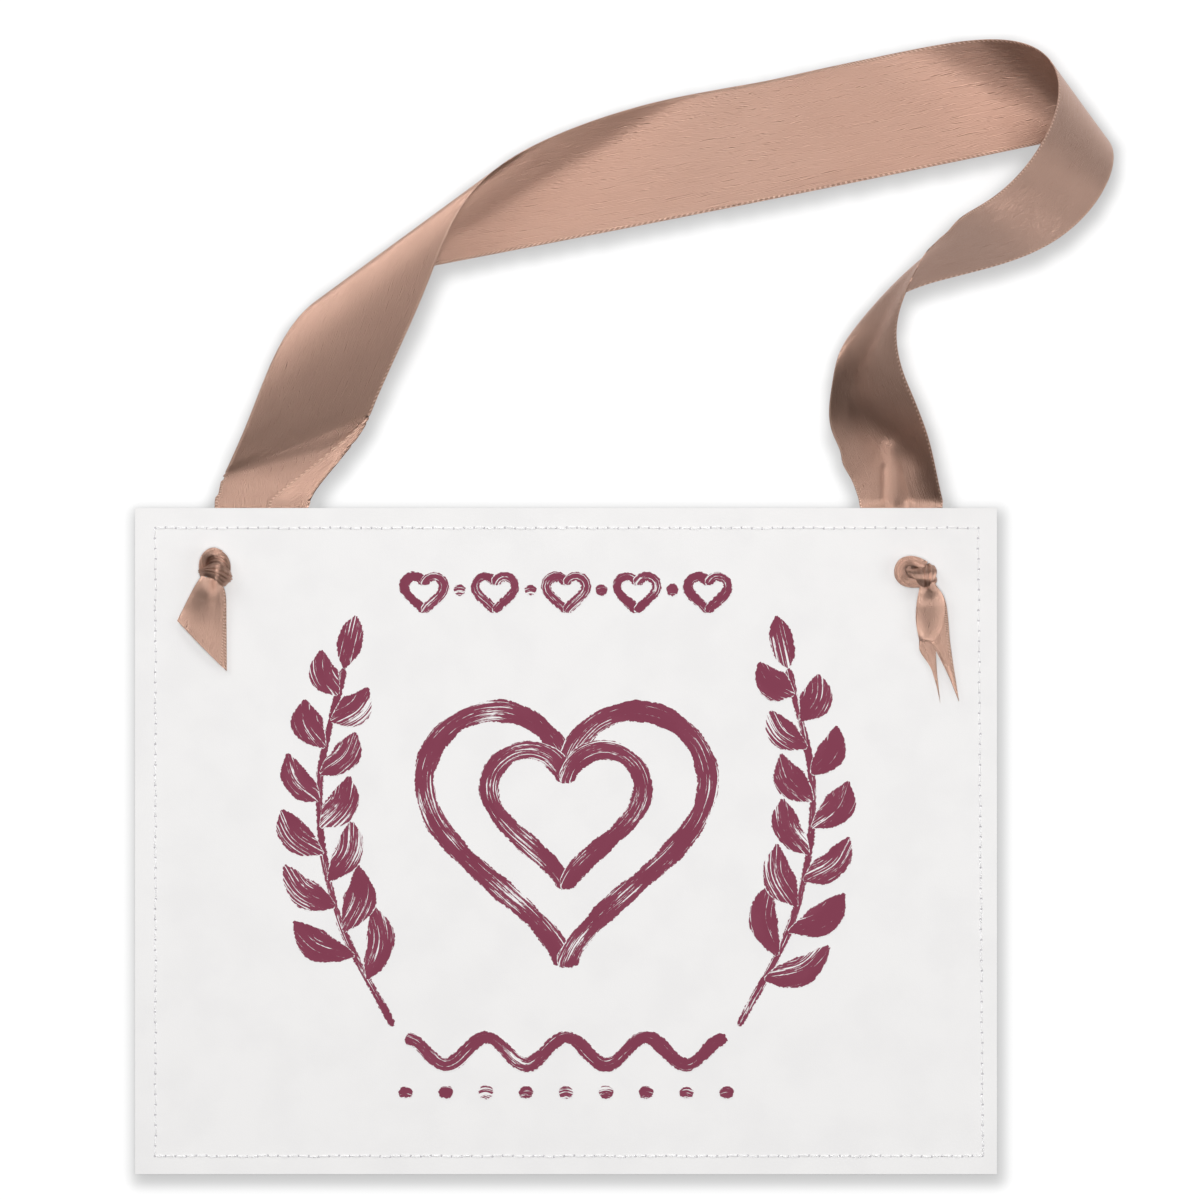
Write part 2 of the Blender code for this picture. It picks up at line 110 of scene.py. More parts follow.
class Field:
    """A number that varies over a surface."""

    def __init__(self, socket):
        self.socket = socket
        self.tree = socket.id_data

    def first_in(self, operation, *others):
        """A Math node on this field and then the others."""
        sockets = dict(enumerate((self, *others)))
        return make_node(self.tree, "ShaderNodeMath", {"operation": operation}, sockets)

    def last_in(self, operation, other):
        """A Math node on a number and then this field."""
        return make_node(self.tree, "ShaderNodeMath", {"operation": operation}, {0: other, 1: self})

    __add__ = partialmethod(first_in, "ADD")
    __radd__ = partialmethod(last_in, "ADD")
    __sub__ = partialmethod(first_in, "SUBTRACT")
    __rsub__ = partialmethod(last_in, "SUBTRACT")
    __mul__ = partialmethod(first_in, "MULTIPLY")
    __truediv__ = partialmethod(first_in, "DIVIDE")
    __pow__ = partialmethod(first_in, "POWER")
    sine = partialmethod(first_in, "SINE")
    root = partialmethod(first_in, "SQRT")
    least = partialmethod(first_in, "MINIMUM")
    most = partialmethod(first_in, "MAXIMUM")

    def rises(self, start, end):
        """0 below start and 1 above end, with a soft step between them."""
        sockets = {"Value": self, "From Min": start, "From Max": end}
        return make_node(self.tree, "ShaderNodeMapRange", {"interpolation_type": "SMOOTHSTEP"}, sockets)

    def falls(self, start, end):
        """1 below start and 0 above end."""
        return 1.0 - self.rises(start, end)


class Finish:
    """A material with its Principled shader, and the nodes that feed it."""

    def __init__(self, name, **constants):
        self.material = bpy.data.materials.new(name)
        self.material.use_nodes = True
        self.tree = self.material.node_tree
        self.shader = self.tree.nodes["Principled BSDF"]
        for socket, value in constants.items():
            self.shader.inputs[socket.replace("_", " ")].default_value = value

    def node(self, kind, settings, sockets, output=0):
        return make_node(self.tree, kind, settings, sockets, output)

    def place(self, source="Object"):
        """X, Y and Z of a point in millimetres, from Object coordinates or from the piece's own UV map."""
        point = self.node("ShaderNodeTexCoord", {}, {}, output=source)
        parts = self.tree.nodes.new("ShaderNodeSeparateXYZ")
        self.tree.links.new(point.socket, parts.inputs[0])
        scale = 1.0 / MM if source == "Object" else 1.0
        return [Field(socket) * scale for socket in parts.outputs]

    def vector(self, x, y, z=0.0):
        return self.node("ShaderNodeCombineXYZ", {}, {"X": x, "Y": y, "Z": z})

    def noise(self, vector, scale, detail=2.0, roughness=0.5):
        sockets = {"Vector": vector, "Scale": scale, "Detail": detail, "Roughness": roughness}
        return self.node("ShaderNodeTexNoise", {}, sockets)

    def blend(self, share, first, second):
        """The first colour where share is 0 and the second where it is 1."""
        pair = [side if isinstance(side, Field) else (*side, 1.0) for side in (first, second)]
        return self.node("ShaderNodeMix", {"data_type": "RGBA"}, {0: share, 6: pair[0], 7: pair[1]}, 2)

    def feed(self, socket, field):
        self.tree.links.new(field.socket, self.shader.inputs[socket])

    def relief(self, height, distance, strength=1.0, below=None):
        """Small relief from a height between 0 and 1; distance is its depth in metres."""
        sockets = {"Height": height, "Distance": distance, "Strength": strength}
        if below:
            sockets["Normal"] = below
        self.feed("Normal", self.node("ShaderNodeBump", {}, sockets))


print("shader helpers ready")

# %% [markdown]
# Satin ribbon is woven with long threads that float along it, so it shines softly. Light that meets the
# round threads spreads across the ribbon and hardly along it: a slope along the ribbon turns dark, and a
# tilt to its side stays bright. Normals that lean from thread to thread stand for them. Along both
# selvedges the weft turns back round the last thread, which leaves a row of tiny paler loops. The ribbon's
# own UV map holds millimetres, U along and V across.

# %% The satin's finish
RIBBON_WIDTH = 38.0
RIBBON_THICKNESS = 0.25
SATIN_COLOUR = (0.535, 0.338, 0.263)
SATIN_DEEP = (0.49, 0.302, 0.232)
SELVEDGE_COLOUR = (0.85, 0.62, 0.5)
SELVEDGE_WIDTH = 0.9
SELVEDGE_PITCH = 1.05
SATIN_ROUGHNESS = 0.34
THREAD_PITCH = 0.3
THREAD_LEAN = 45.0


def satin_finish():
    finish = Finish("rose_satin", IOR=1.5, Specular_IOR_Level=0.5, Metallic=0.95)
    along, across = finish.place("UV")[:2]
    threads = finish.noise(finish.vector(along * 0.25, across * 6.0), 1.0, detail=3.0)
    cloud = finish.noise(finish.vector(along * 0.03, across * 0.09), 1.0)
    edge = across.least(RIBBON_WIDTH - across)
    band = edge.falls(SELVEDGE_WIDTH * 0.8, SELVEDGE_WIDTH)
    loops = (along * (2.0 * math.pi / SELVEDGE_PITCH)).sine().rises(-0.1, 0.5)
    dots = band * loops * edge.rises(0.05, 0.25)
    colour = finish.blend(cloud.rises(0.3, 0.7) * 0.25 + threads * 0.2, SATIN_COLOUR, SATIN_DEEP)
    colour = finish.blend(band * 0.45, colour, SATIN_DEEP)
    colour = finish.blend(dots * 0.8, colour, SELVEDGE_COLOUR)
    finish.feed("Base Color", colour)
    finish.feed("Roughness", SATIN_ROUGHNESS + threads * 0.08 + band * 0.15)
    sway = finish.noise(finish.vector(along * 0.1, across * 0.6), 1.0)
    lean = ((across / THREAD_PITCH + sway * 4.0) * (2.0 * math.pi)).sine() * math.radians(THREAD_LEAN)
    side = lean.sine()
    rounded = finish.vector(0.5, side * 0.5 + 0.5, (1.0 - side * side).root() * 0.5 + 0.5)
    weave = finish.node("ShaderNodeNormalMap", {"uv_map": "UVMap"}, {"Color": rounded})
    finish.relief(threads * 0.3 + dots, 0.0001, 0.6, weave)
    return finish.material


satin = satin_finish()
print("satin ready")

# %% [markdown]
# A ribbon has no thickness to speak of, so it starts as a grid: rows along it and columns across it. The
# grid's corners are then moved to the places where the cloth lies, and Solidify gives it its quarter of a
# millimetre. A UV map in millimetres goes on at the same time, because the weave follows the ribbon and not
# the room.


# %% A cloth from rows of points
def grid_piece(name, rows, places):
    """A grid through rows of points in the card's millimetres, with places as its UV map."""
    count, width = rows.shape[:2]
    clear_selection()
    bpy.ops.mesh.primitive_grid_add(x_subdivisions=width - 1, y_subdivisions=count - 1, size=1.0)
    piece = bpy.context.object
    piece.name = name
    mesh = piece.data
    mesh.name = name
    mesh.vertices.foreach_set("co", in_frame(rows).astype(np.float32).ravel())
    corners = np.empty(len(mesh.loops), dtype=np.int32)
    mesh.loops.foreach_get("vertex_index", corners)
    flat = places.reshape(-1, 2)[corners]
    mesh.uv_layers.active.data.foreach_set("uv", flat.astype(np.float32).ravel())
    mesh.update()
    return piece


def lay_cloth(name, rows, along, across):
    """A ribbon through rows of points, with along and across as its own UV places."""
    piece = grid_piece(name, rows, np.stack(np.broadcast_arrays(along, across), axis=-1))
    modifier = piece.modifiers.new("thickness", "SOLIDIFY")
    modifier.thickness = RIBBON_THICKNESS * MM
    modifier.offset = 0.0
    bpy.ops.object.modifier_apply(modifier=modifier.name)
    bpy.ops.object.shade_smooth_by_angle(angle=math.radians(50))
    piece.data.materials.append(satin)
    return piece


def join_pieces(pieces, name):
    clear_selection()
    for piece in pieces:
        piece.select_set(True)
    bpy.context.view_layer.objects.active = pieces[0]
    bpy.ops.object.join()
    joined = bpy.context.object
    joined.name = name
    joined.data.name = name
    return joined


def length_along(line):
    """How far each point of a line lies from its first, measured along it."""
    return np.concatenate(((0.0,), np.cumsum(np.linalg.norm(np.diff(line, axis=0), axis=1))))


def smooth_step(u):
    u = np.clip(u, 0.0, 1.0)
    return u * u * (3.0 - 2.0 * u)


def through(places, count):
    """A smooth curve through a few places, in count points."""
    places = np.asarray(places, dtype=float)
    padded = np.concatenate((2 * places[:1] - places[1:2], places, 2 * places[-1:] - places[-2:-1]))
    at = np.linspace(0.0, len(places) - 1, count)
    i = np.minimum(at.astype(int), len(places) - 2)
    u = (at - i).reshape((-1,) + (1,) * (places.ndim - 1))
    a, b, c, d = padded[i], padded[i + 1], padded[i + 2], padded[i + 3]
    return 0.5 * (2 * b + (c - a) * u + (2 * a - 5 * b + 4 * c - d) * u**2 + (3 * b - a - 3 * c + d) * u**3)


print("cloth helpers ready")

# %% [markdown]
# The strap is one flat strip that only bends: it can't stretch or shear. Such a strip is described by its
# rolls. Walking along it, each step turns about a straight line across the ribbon, and the slant of that
# line says which way the ribbon rolls. The values are the same as in the solid model, and the steps are
# finer.

# %% The strap's rolls
HOLE_X = CARD_WIDTH / 2 - 25.7
HOLE_Y = -23.2
LEFT_END = (-HOLE_X + 0.2, -HOLE_X + 31.0)
RIGHT_END = (HOLE_X - 19.0, HOLE_X + 8.2)
END_Y = 2.4
END_HEIGHT = 1.0
START = (-HOLE_X + 20.0, 1.5, END_HEIGHT)
HEADING = 70.5
STEP = 0.5
ROLLS = (
    (17.0, -36.0, 30.0),
    (85.0, 158.0, 94.0),
    (145.0, 54.5, 49.0),
    (332.0, 165.5, 94.0),
    (389.0, 47.0, 46.0),
    (432.0, -80.0, 33.0),
    (475.0, -84.0, 23.0),
    (503.0, 19.5, 19.0),
)
LENGTH = 519.0
SLANTS = (
    (0.0, -0.55),
    (45.0, -1.55),
    (100.0, -1.65),
    (155.0, -2.7),
    (235.0, 0.0),
    (285.0, 1.4),
    (340.0, 0.1),
    (395.0, -0.25),
    (455.0, 1.4),
    (524.0, -0.5),
)


def turn_rate(places):
    """Degrees of turn for each millimetre: each roll is tightest at its middle."""
    rate = np.zeros_like(places)
    for middle, turn, spread in ROLLS:
        u = np.clip(2.0 * (places - middle) / spread, -1.0, 1.0)
        rate += 1.5 * turn / spread * (1.0 - u * u)
    return rate


def slant_at(places):
    """The slant of the lines that the ribbon rolls about, on a smooth curve through the listed values."""
    at, value = np.array(SLANTS).T
    lean = np.zeros(len(at))
    lean[1:-1] = (value[2:] - value[:-2]) / (at[2:] - at[:-2])
    i = np.clip(np.searchsorted(at, places, side="right") - 1, 0, len(at) - 2)
    gap = at[i + 1] - at[i]
    u = np.clip((places - at[i]) / gap, 0.0, 1.0)
    start = (2 * u**3 - 3 * u**2 + 1) * value[i] + (u**3 - 2 * u**2 + u) * gap * lean[i]
    return start + (3 * u**2 - 2 * u**3) * value[i + 1] + (u**3 - u**2) * gap * lean[i + 1]


def turned(vector, axis, angle):
    return (vector * math.cos(angle) + np.cross(axis, vector) * math.sin(angle)
            + axis * np.dot(axis, vector) * (1.0 - math.cos(angle)))


def walk_ribbon():
    """The middle line and the ruling lines of the strap, by small turns."""
    places = np.linspace(0.0, LENGTH, int(LENGTH / STEP) + 1)
    middles = 0.5 * (places[1:] + places[:-1])
    step = places[1] - places[0]
    rates = np.radians(turn_rate(middles)) * step
    slants = slant_at(places)
    heading = math.radians(HEADING)
    ahead = np.array((math.cos(heading), math.sin(heading), 0.0))
    across = np.array((-math.sin(heading), math.cos(heading), 0.0))
    point = np.array(START)
    line = [point]
    rulings = [across + slants[0] * ahead]
    for i, (angle, slant) in enumerate(zip(rates, slant_at(middles))):
        axis = across + slant * ahead
        axis /= np.linalg.norm(axis)
        next_ahead = turned(ahead, axis, angle)
        across = turned(across, axis, angle)
        point = point + 0.5 * (ahead + next_ahead) * step
        ahead = next_ahead
        line.append(point)
        rulings.append(across + slants[i + 1] * ahead)
    return places, np.array(line), np.array(rulings)


walk_places, walk_line, walk_rulings = walk_ribbon()
print(f"strap walked, {len(walk_places)} places, highest {walk_line[:, 2].max():.1f} mm")

# %% [markdown]
# Both ends of the strap are squeezed where they pass the card's top edge, and at the left end the right
# margin is turned over to the front as a flap. `strap_surface` gives a point of the strap for any place
# along it and any share across it, and the flap is the same surface read backwards from the crease.
# `HILL_SHARES` lowers the first rise, where the cloth sags. Each nudge then shifts the cloth near one place
# on the plan by a few millimetres, to where the photograph shows its edge.

# %% The strap's surface
START_EASES = (20.0, 32.0)
END_EASES = (44.0, 70.0)
TABLE_CLEARANCE = 0.35
TABLE_SOFTNESS = 0.3
FLAP_AT_CARD = 11.5
FLAP_LENGTH = 20.0
FLAP_GAP = 0.28
FLAP_FOLD = 1.2
HILL_STEP = 16.0
HILL_SHARES = (1.0, 0.7, 0.5, 0.43, 0.43, 0.48, 0.55, 0.64, 0.8, 1.0, 1.0)
HILL_POINTS = 81
# place along, share across, reach along, reach across, shift on the plan
NUDGES = (
    (215.0, 0.5, 75.0, 3.0, (0.0, -0.9)),
    (348.0, 0.5, 32.0, 3.0, (-1.6, 0.0)),
    (427.0, 0.0, 19.0, 0.45, (0.5, -5.2)),
    (441.0, 0.0, 9.0, 0.45, (0.0, -1.5)),
    (440.0, 1.0, 10.0, 0.45, (-2.4, 0.0)),
    (475.0, 1.0, 14.0, 0.35, (3.7, 0.0)),
    (466.0, 0.0, 12.0, 0.35, (-1.5, 0.0)),
)


def end_point(sides, share):
    """A point of the straight row at the card's edge, from the ribbon's right side to its left."""
    x = sides[1] + (sides[0] - sides[1]) * share
    return np.stack(np.broadcast_arrays(x, END_Y, END_HEIGHT), axis=-1)


def strap_surface(places, share):
    """Points of the strap for places along it and shares across it, both as grids."""
    offset = (share - 0.5) * RIBBON_WIDTH
    middle = np.stack([np.interp(places, walk_places, walk_line[:, axis]) for axis in range(3)], axis=-1)
    ruling = np.stack([np.interp(places, walk_places, walk_rulings[:, axis]) for axis in range(3)], axis=-1)
    points = middle + offset[..., None] * ruling
    ends = ((LEFT_END, START_EASES, 0, places), (RIGHT_END, END_EASES, -1, LENGTH - places))
    for sides, eases, end, run in ends:
        error = end_point(sides, share) - (walk_line[end] + offset[..., None] * walk_rulings[end])
        near = 1.0 - smooth_step(run / (eases[0] + (eases[1] - eases[0]) * share))
        points = points + near[..., None] * error
    hill_places = np.linspace(0.0, HILL_STEP * (len(HILL_SHARES) - 1), HILL_POINTS)
    lowered = np.interp(places, hill_places, through(HILL_SHARES, HILL_POINTS))
    height = points[..., 2] * lowered - TABLE_CLEARANCE
    points[..., 2] = TABLE_CLEARANCE + TABLE_SOFTNESS * np.logaddexp(0.0, height / TABLE_SOFTNESS)
    return points


COLUMNS = 61
ROW_STEP = 1.2
share_line = np.linspace(0.0, 1.0, COLUMNS)
place_line = np.linspace(0.0, LENGTH, int(LENGTH / ROW_STEP) + 1)
strap_places, strap_shares = np.meshgrid(place_line, share_line, indexing="ij")
flap = FLAP_AT_CARD / RIBBON_WIDTH * np.clip(1.0 - strap_places / FLAP_LENGTH, 0.0, 1.0) ** 0.7
crease_column = np.rint(flap * (COLUMNS - 1)) / (COLUMNS - 1)
crease_pull = np.clip(strap_shares / np.maximum(crease_column, 0.01), 0.0, 1.0)
strap_shares = strap_shares + (flap - crease_column) * crease_pull
folded_share = np.abs(strap_shares - flap) / (1.0 - flap)
strap_points = strap_surface(strap_places, folded_share)
for place, share, reach, share_reach, shift in NUDGES:
    near = np.exp(-(((strap_places - place) / reach) ** 2) - ((folded_share - share) / share_reach) ** 2)
    strap_points[..., :2] += near[..., None] * np.array(shift)
in_flap = smooth_step((flap - strap_shares) * RIBBON_WIDTH / FLAP_FOLD)
strap_points[..., 2] += FLAP_GAP * in_flap
print(f"strap surface {strap_points.shape[0]} rows of {COLUMNS} points")

# %% [markdown]
# Below its last twist the strap comes down to the table before it reaches the card, and its middle lies
# nearly level there. Its heights are set on a coarse net, whose lines are smoothed: rows go up the plan
# from the card's edge, and columns go from the ribbon's right selvedge to its left.

# %% The strap settles beside the card
SETTLE_START = 424.0
SETTLE_SPAN = 22.0
SETTLE_STEP = 7.9
NET_FINENESS = (8, 10)
SETTLE_HEIGHTS = (
    (1.0, 1.0, 1.0, 1.0, 1.0),
    (6.0, 3.4, 2.3, 2.2, 1.8),
    (11.5, 5.4, 3.3, 3.6, 3.4),
    (17.8, 9.6, 5.2, 5.6, 5.6),
    (23.8, 16.2, 9.6, 8.9, 8.6),
    (28.8, 22.5, 15.9, 13.2, 12.2),
    (33.3, 27.5, 21.2, 17.0, 14.2),
    (37.5, 32.0, 25.2, 19.5, 14.6),
    (41.8, 36.0, 28.4, 21.0, 14.0),
    (46.0, 39.5, 31.0, 22.3, 13.7),
    (49.0, 42.3, 33.5, 24.5, 14.5),
    (50.8, 44.3, 37.0, 29.0, 18.0),
    (51.3, 45.5, 39.0, 31.0, 20.0),
)


def settled_height(y, share):
    """Heights of the strap's last part, for places above the card's edge and shares across the ribbon."""
    rows = NET_FINENESS[0] * (len(SETTLE_HEIGHTS) - 1)
    columns = NET_FINENESS[1] * (len(SETTLE_HEIGHTS[0]) - 1)
    net = through(through(SETTLE_HEIGHTS, rows + 1).T, columns + 1).T
    along = np.clip((y - END_Y) / SETTLE_STEP * NET_FINENESS[0], 0.0, rows - 0.001)
    across = share * columns
    i, j = along.astype(int), np.minimum(across.astype(int), columns - 1)
    u, v = along - i, across - j
    return ((net[i, j] * (1 - u) + net[i + 1, j] * u) * (1 - v)
            + (net[i, j + 1] * (1 - u) + net[i + 1, j + 1] * u) * v)


settled = smooth_step((strap_places - SETTLE_START) / SETTLE_SPAN)
settled_heights = settled_height(strap_points[..., 1], folded_share)
strap_points[..., 2] += settled * (settled_heights - strap_points[..., 2])
print(f"strap settled over its last {LENGTH - SETTLE_START:.0f} mm")

# %% [markdown]
# The gathers behind the card push the cloth up at its edge: a soft ridge stands there between two thin
# valleys. A crease is a line on the plan with a width and a height, which is below zero for a valley.

# %% Creases beside the card
CREASES = (
    (((103.3, 13.0), (103.1, 6.0), (103.1, 0.5)), 1.0, -0.35),
    (((109.2, 11.7), (110.6, 6.0), (112.5, 0.5)), 1.0, -0.35),
    (((105.5, 19.0), (106.3, 12.0), (107.6, 0.5)), 2.4, 0.6),
)
CREASE_FADE = 3.0


def crease_relief(points):
    """Height added by all creases, fading to nothing at the card's edge."""
    plan = points[..., :2]
    relief = np.zeros(plan.shape[:-1])
    for line, width, height in CREASES:
        nearest = np.full(relief.shape, np.inf)
        for start, end in zip(np.array(line), np.array(line)[1:]):
            run = end - start
            share = np.clip(((plan - start) @ run) / (run @ run), 0.0, 1.0)
            nearest = np.minimum(nearest, np.linalg.norm(plan - start - share[..., None] * run, axis=-1))
        relief += height * np.exp(-((nearest / width) ** 2))
    return relief * smooth_step(plan[..., 1] / CREASE_FADE)


print(f"{len(CREASES)} creases ready")

# %% [markdown]
# Behind the card the ribbon is gathered into pleats and runs to the hole, where it is narrow enough to
# pass. These rows continue the strap's own rows at both ends, so the ribbon is one piece from hole to hole.

# %% The gathered ends behind the card
GATHER_PLEATS = 5
PLEAT_HEIGHT = 0.85
GATHER_LEVEL = 0.62
GATHER_WIDTH = 5.6
GATHER_PAST_HOLE = 3.2
GATHER_ROWS = 26
GATHER_DRAWN = 0.85


def gather(edge_row, hole_x):
    """Rows from the strap's end row to just past the hole, squeezed into pleats on the way."""
    rows = []
    wave = np.cos(2.0 * np.pi * GATHER_PLEATS * share_line)
    narrow_x = hole_x + GATHER_WIDTH * (0.5 - share_line)
    for u in np.linspace(0.0, 1.0, GATHER_ROWS + 1)[1:]:
        draw = smooth_step(u / GATHER_DRAWN)
        x = edge_row[:, 0] + (narrow_x - edge_row[:, 0]) * draw
        y = edge_row[:, 1] + (HOLE_Y - GATHER_PAST_HOLE - edge_row[:, 1]) * u
        level = edge_row[:, 2] + (GATHER_LEVEL - edge_row[:, 2]) * draw
        rows.append(np.stack((x, y, level + 0.5 * PLEAT_HEIGHT * wave * draw), axis=-1))
    return np.array(rows)


left_gather = gather(strap_points[0], -HOLE_X)[::-1]
right_gather = gather(strap_points[-1], HOLE_X)
ribbon_rows = np.concatenate((left_gather, strap_points, right_gather))
ribbon_rows[..., 2] += crease_relief(ribbon_rows)
ribbon_along = length_along(ribbon_rows[:, COLUMNS // 2])
ribbon = lay_cloth("ribbon", ribbon_rows, ribbon_along[:, None], share_line[None, :] * RIBBON_WIDTH)
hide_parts("strap", "left_lead", "right_lead")
print(f"ribbon {ribbon_along[-1]:.0f} mm from hole to hole, {len(ribbon.data.polygons)} faces")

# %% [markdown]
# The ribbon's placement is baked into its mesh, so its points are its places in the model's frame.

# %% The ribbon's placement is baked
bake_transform(ribbon)

# %% [markdown]
# Knots and tails are led by a few places read from the photograph, in millimetres from their hole.

# %% The two holes
HOLES = {"left": np.array((-HOLE_X, HOLE_Y, CARD_FACE)), "right": np.array((HOLE_X, HOLE_Y, CARD_FACE))}
print("holes at", {side: place.round(1).tolist() for side, place in HOLES.items()})

# %% [markdown]
# The loose tails are folded lengthwise and cut at a slant, which leaves a swallowtail. Three curves lead
# each of them: its fold, and the edges of the layer in front and the layer behind. Where the layers gape,
# their cut edges bow apart. A soft valley runs down from the knot, where the gathers open out. A share of
# the cloth is tucked in between the layers, so that the tail holds most of its flat cut.

# %% The tails
TAIL_ROWS = 60
TAIL_COLUMNS = 61
TAIL_FLOOR = 0.68 + RIBBON_THICKNESS / 2
TAIL_DROP = 0.85
TAIL_WEAVE_START = 8.0
FOLD_ROUNDING = 0.12
TUCK_SINK = 0.8
TUCK_RISE = 0.3
TAILS = {
    "left": {
        "fold": ((-3.9, 1.2), (-6.4, -2.6), (-9.3, -8.2), (-11.9, -13.4)),
        "front": ((2.2, -0.6), (3.5, -5.0), (3.4, -15.0), (2.5, -28.2)),
        "back": ((2.2, -0.6), (3.8, -5.0), (4.0, -15.0), (4.1, -29.7)),
        "front_cut": ((-11.9, -13.4), (-7.0, -18.6), (-2.2, -23.5), (2.5, -28.2)),
        "back_cut": ((-11.9, -13.4), (-6.5, -19.0), (-1.2, -24.5), (4.1, -29.7)),
        "lengths": (16.7, 29.4),
        "tucks": (0.3, 0.0),
        "start_height": 2.3,
        "gap": 0.7,
        "arch": 0.9,
        "valley": {"at": 0.6, "depth": 1.0, "width": 0.13, "length": 0.85},
        "hinge": ((1.6, -0.6), (-0.6, -3.6)),
    },
    "right": {
        "fold": ((0.9, -1.4), (-0.3, -7.7), (-0.5, -13.5), (0.6, -20.0)),
        "front": ((5.2, -0.8), (9.0, -7.4), (10.6, -21.5), (13.3, -39.4)),
        "back": ((4.4, -0.8), (5.9, -8.0), (6.0, -26.0), (7.5, -40.2)),
        "front_cut": ((0.6, -20.0), (2.6, -19.4), (6.4, -22.8), (10.2, -31.5), (13.3, -39.4)),
        "back_cut": ((0.6, -20.0), (0.7, -23.2), (4.2, -28.6), (6.2, -34.5), (7.3, -40.2)),
        "lengths": (18.8, 39.8),
        "tucks": (0.9, 0.9),
        "start_height": 2.3,
        "gap": 0.8,
        "arch": 1.7,
        "valley": {"at": 0.5, "depth": 0.8, "width": 0.14, "length": 0.2},
        "hinge": ((3.0, -0.6), (3.2, -4.2)),
    },
}


def tail_rows(tail):
    """Rows from the back edge round the fold to the front edge, with the tucked shares of both layers."""
    count = TAIL_ROWS + 1
    u = np.linspace(0.0, 1.0, count)[:, None]
    shares = np.linspace(-1.0, 1.0, TAIL_COLUMNS)[None, :]
    front = shares > 0
    tuck = np.where(front, tail["tucks"][1], tail["tucks"][0])
    reach = np.abs(shares) * (1.0 + 2.0 * tuck)
    tucked = np.clip(reach - 1.0, 0.0, 2.0 * tuck)
    side = np.minimum(reach, 1.0) - tuck + np.abs(tuck - tucked)
    depth = np.sqrt(tucked / np.maximum(2.0 * tuck, 0.001))
    half = TAIL_COLUMNS // 2 + 1
    fold = through(tail["fold"], count)[:, None, :]
    edge = np.where(front[..., None], through(tail["front"], count)[:, None, :],
                    through(tail["back"], count)[:, None, :])
    flat = fold + (edge - fold) * side[..., None]
    cut = np.concatenate((through(tail["back_cut"], half)[:0:-1], through(tail["front_cut"], half)))
    flat += (cut[None, :, :] - flat[-1:]) * (u**3)[..., None]
    level = tail["start_height"] + (TAIL_FLOOR - tail["start_height"]) * smooth_step(u / TAIL_DROP)
    layer = np.clip(shares / FOLD_ROUNDING, -1.0, 1.0)
    arch = tail["arch"] * np.sin(np.pi * side) * smooth_step(2.5 * u) * front
    valley = tail["valley"]
    near = 1.0 - smooth_step(u / valley["length"])
    across = np.exp(-(((side - valley["at"]) / valley["width"]) ** 2))
    ridges = (0.75 * np.sin(np.pi * side) - across) * valley["depth"] * near * front
    height = level + (tail["gap"] * (1.0 + layer) / 2 + arch + ridges) * (1.0 - TUCK_SINK * depth)
    height += np.where(front, 0.0, TUCK_RISE * depth)
    return np.concatenate((flat, height[..., None]), axis=-1)


for tail_side, tail in TAILS.items():
    hole = HOLES[tail_side]
    rows = tail_rows(tail) + hole
    along = hole[1] - rows[:, :1, 1] + TAIL_WEAVE_START
    across = np.linspace(0.0, RIBBON_WIDTH, TAIL_COLUMNS)[None, :]
    piece = lay_cloth(f"ribbon_tail_{tail_side}", rows, along, across)
    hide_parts(f"{tail_side}_tail")
    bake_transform(piece)

# %% [markdown]
# An overhand knot in gathered ribbon shows as a few broad bands that tuck under each other. Each band is
# lofted between two edges, with a bulge between them like the back of a spoon, a few fine gathers along it,
# and a rolled rim where the cloth turns under. The places of the edges are in millimetres from the hole and
# above the card. Under the bands a pleated neck comes up through the hole.

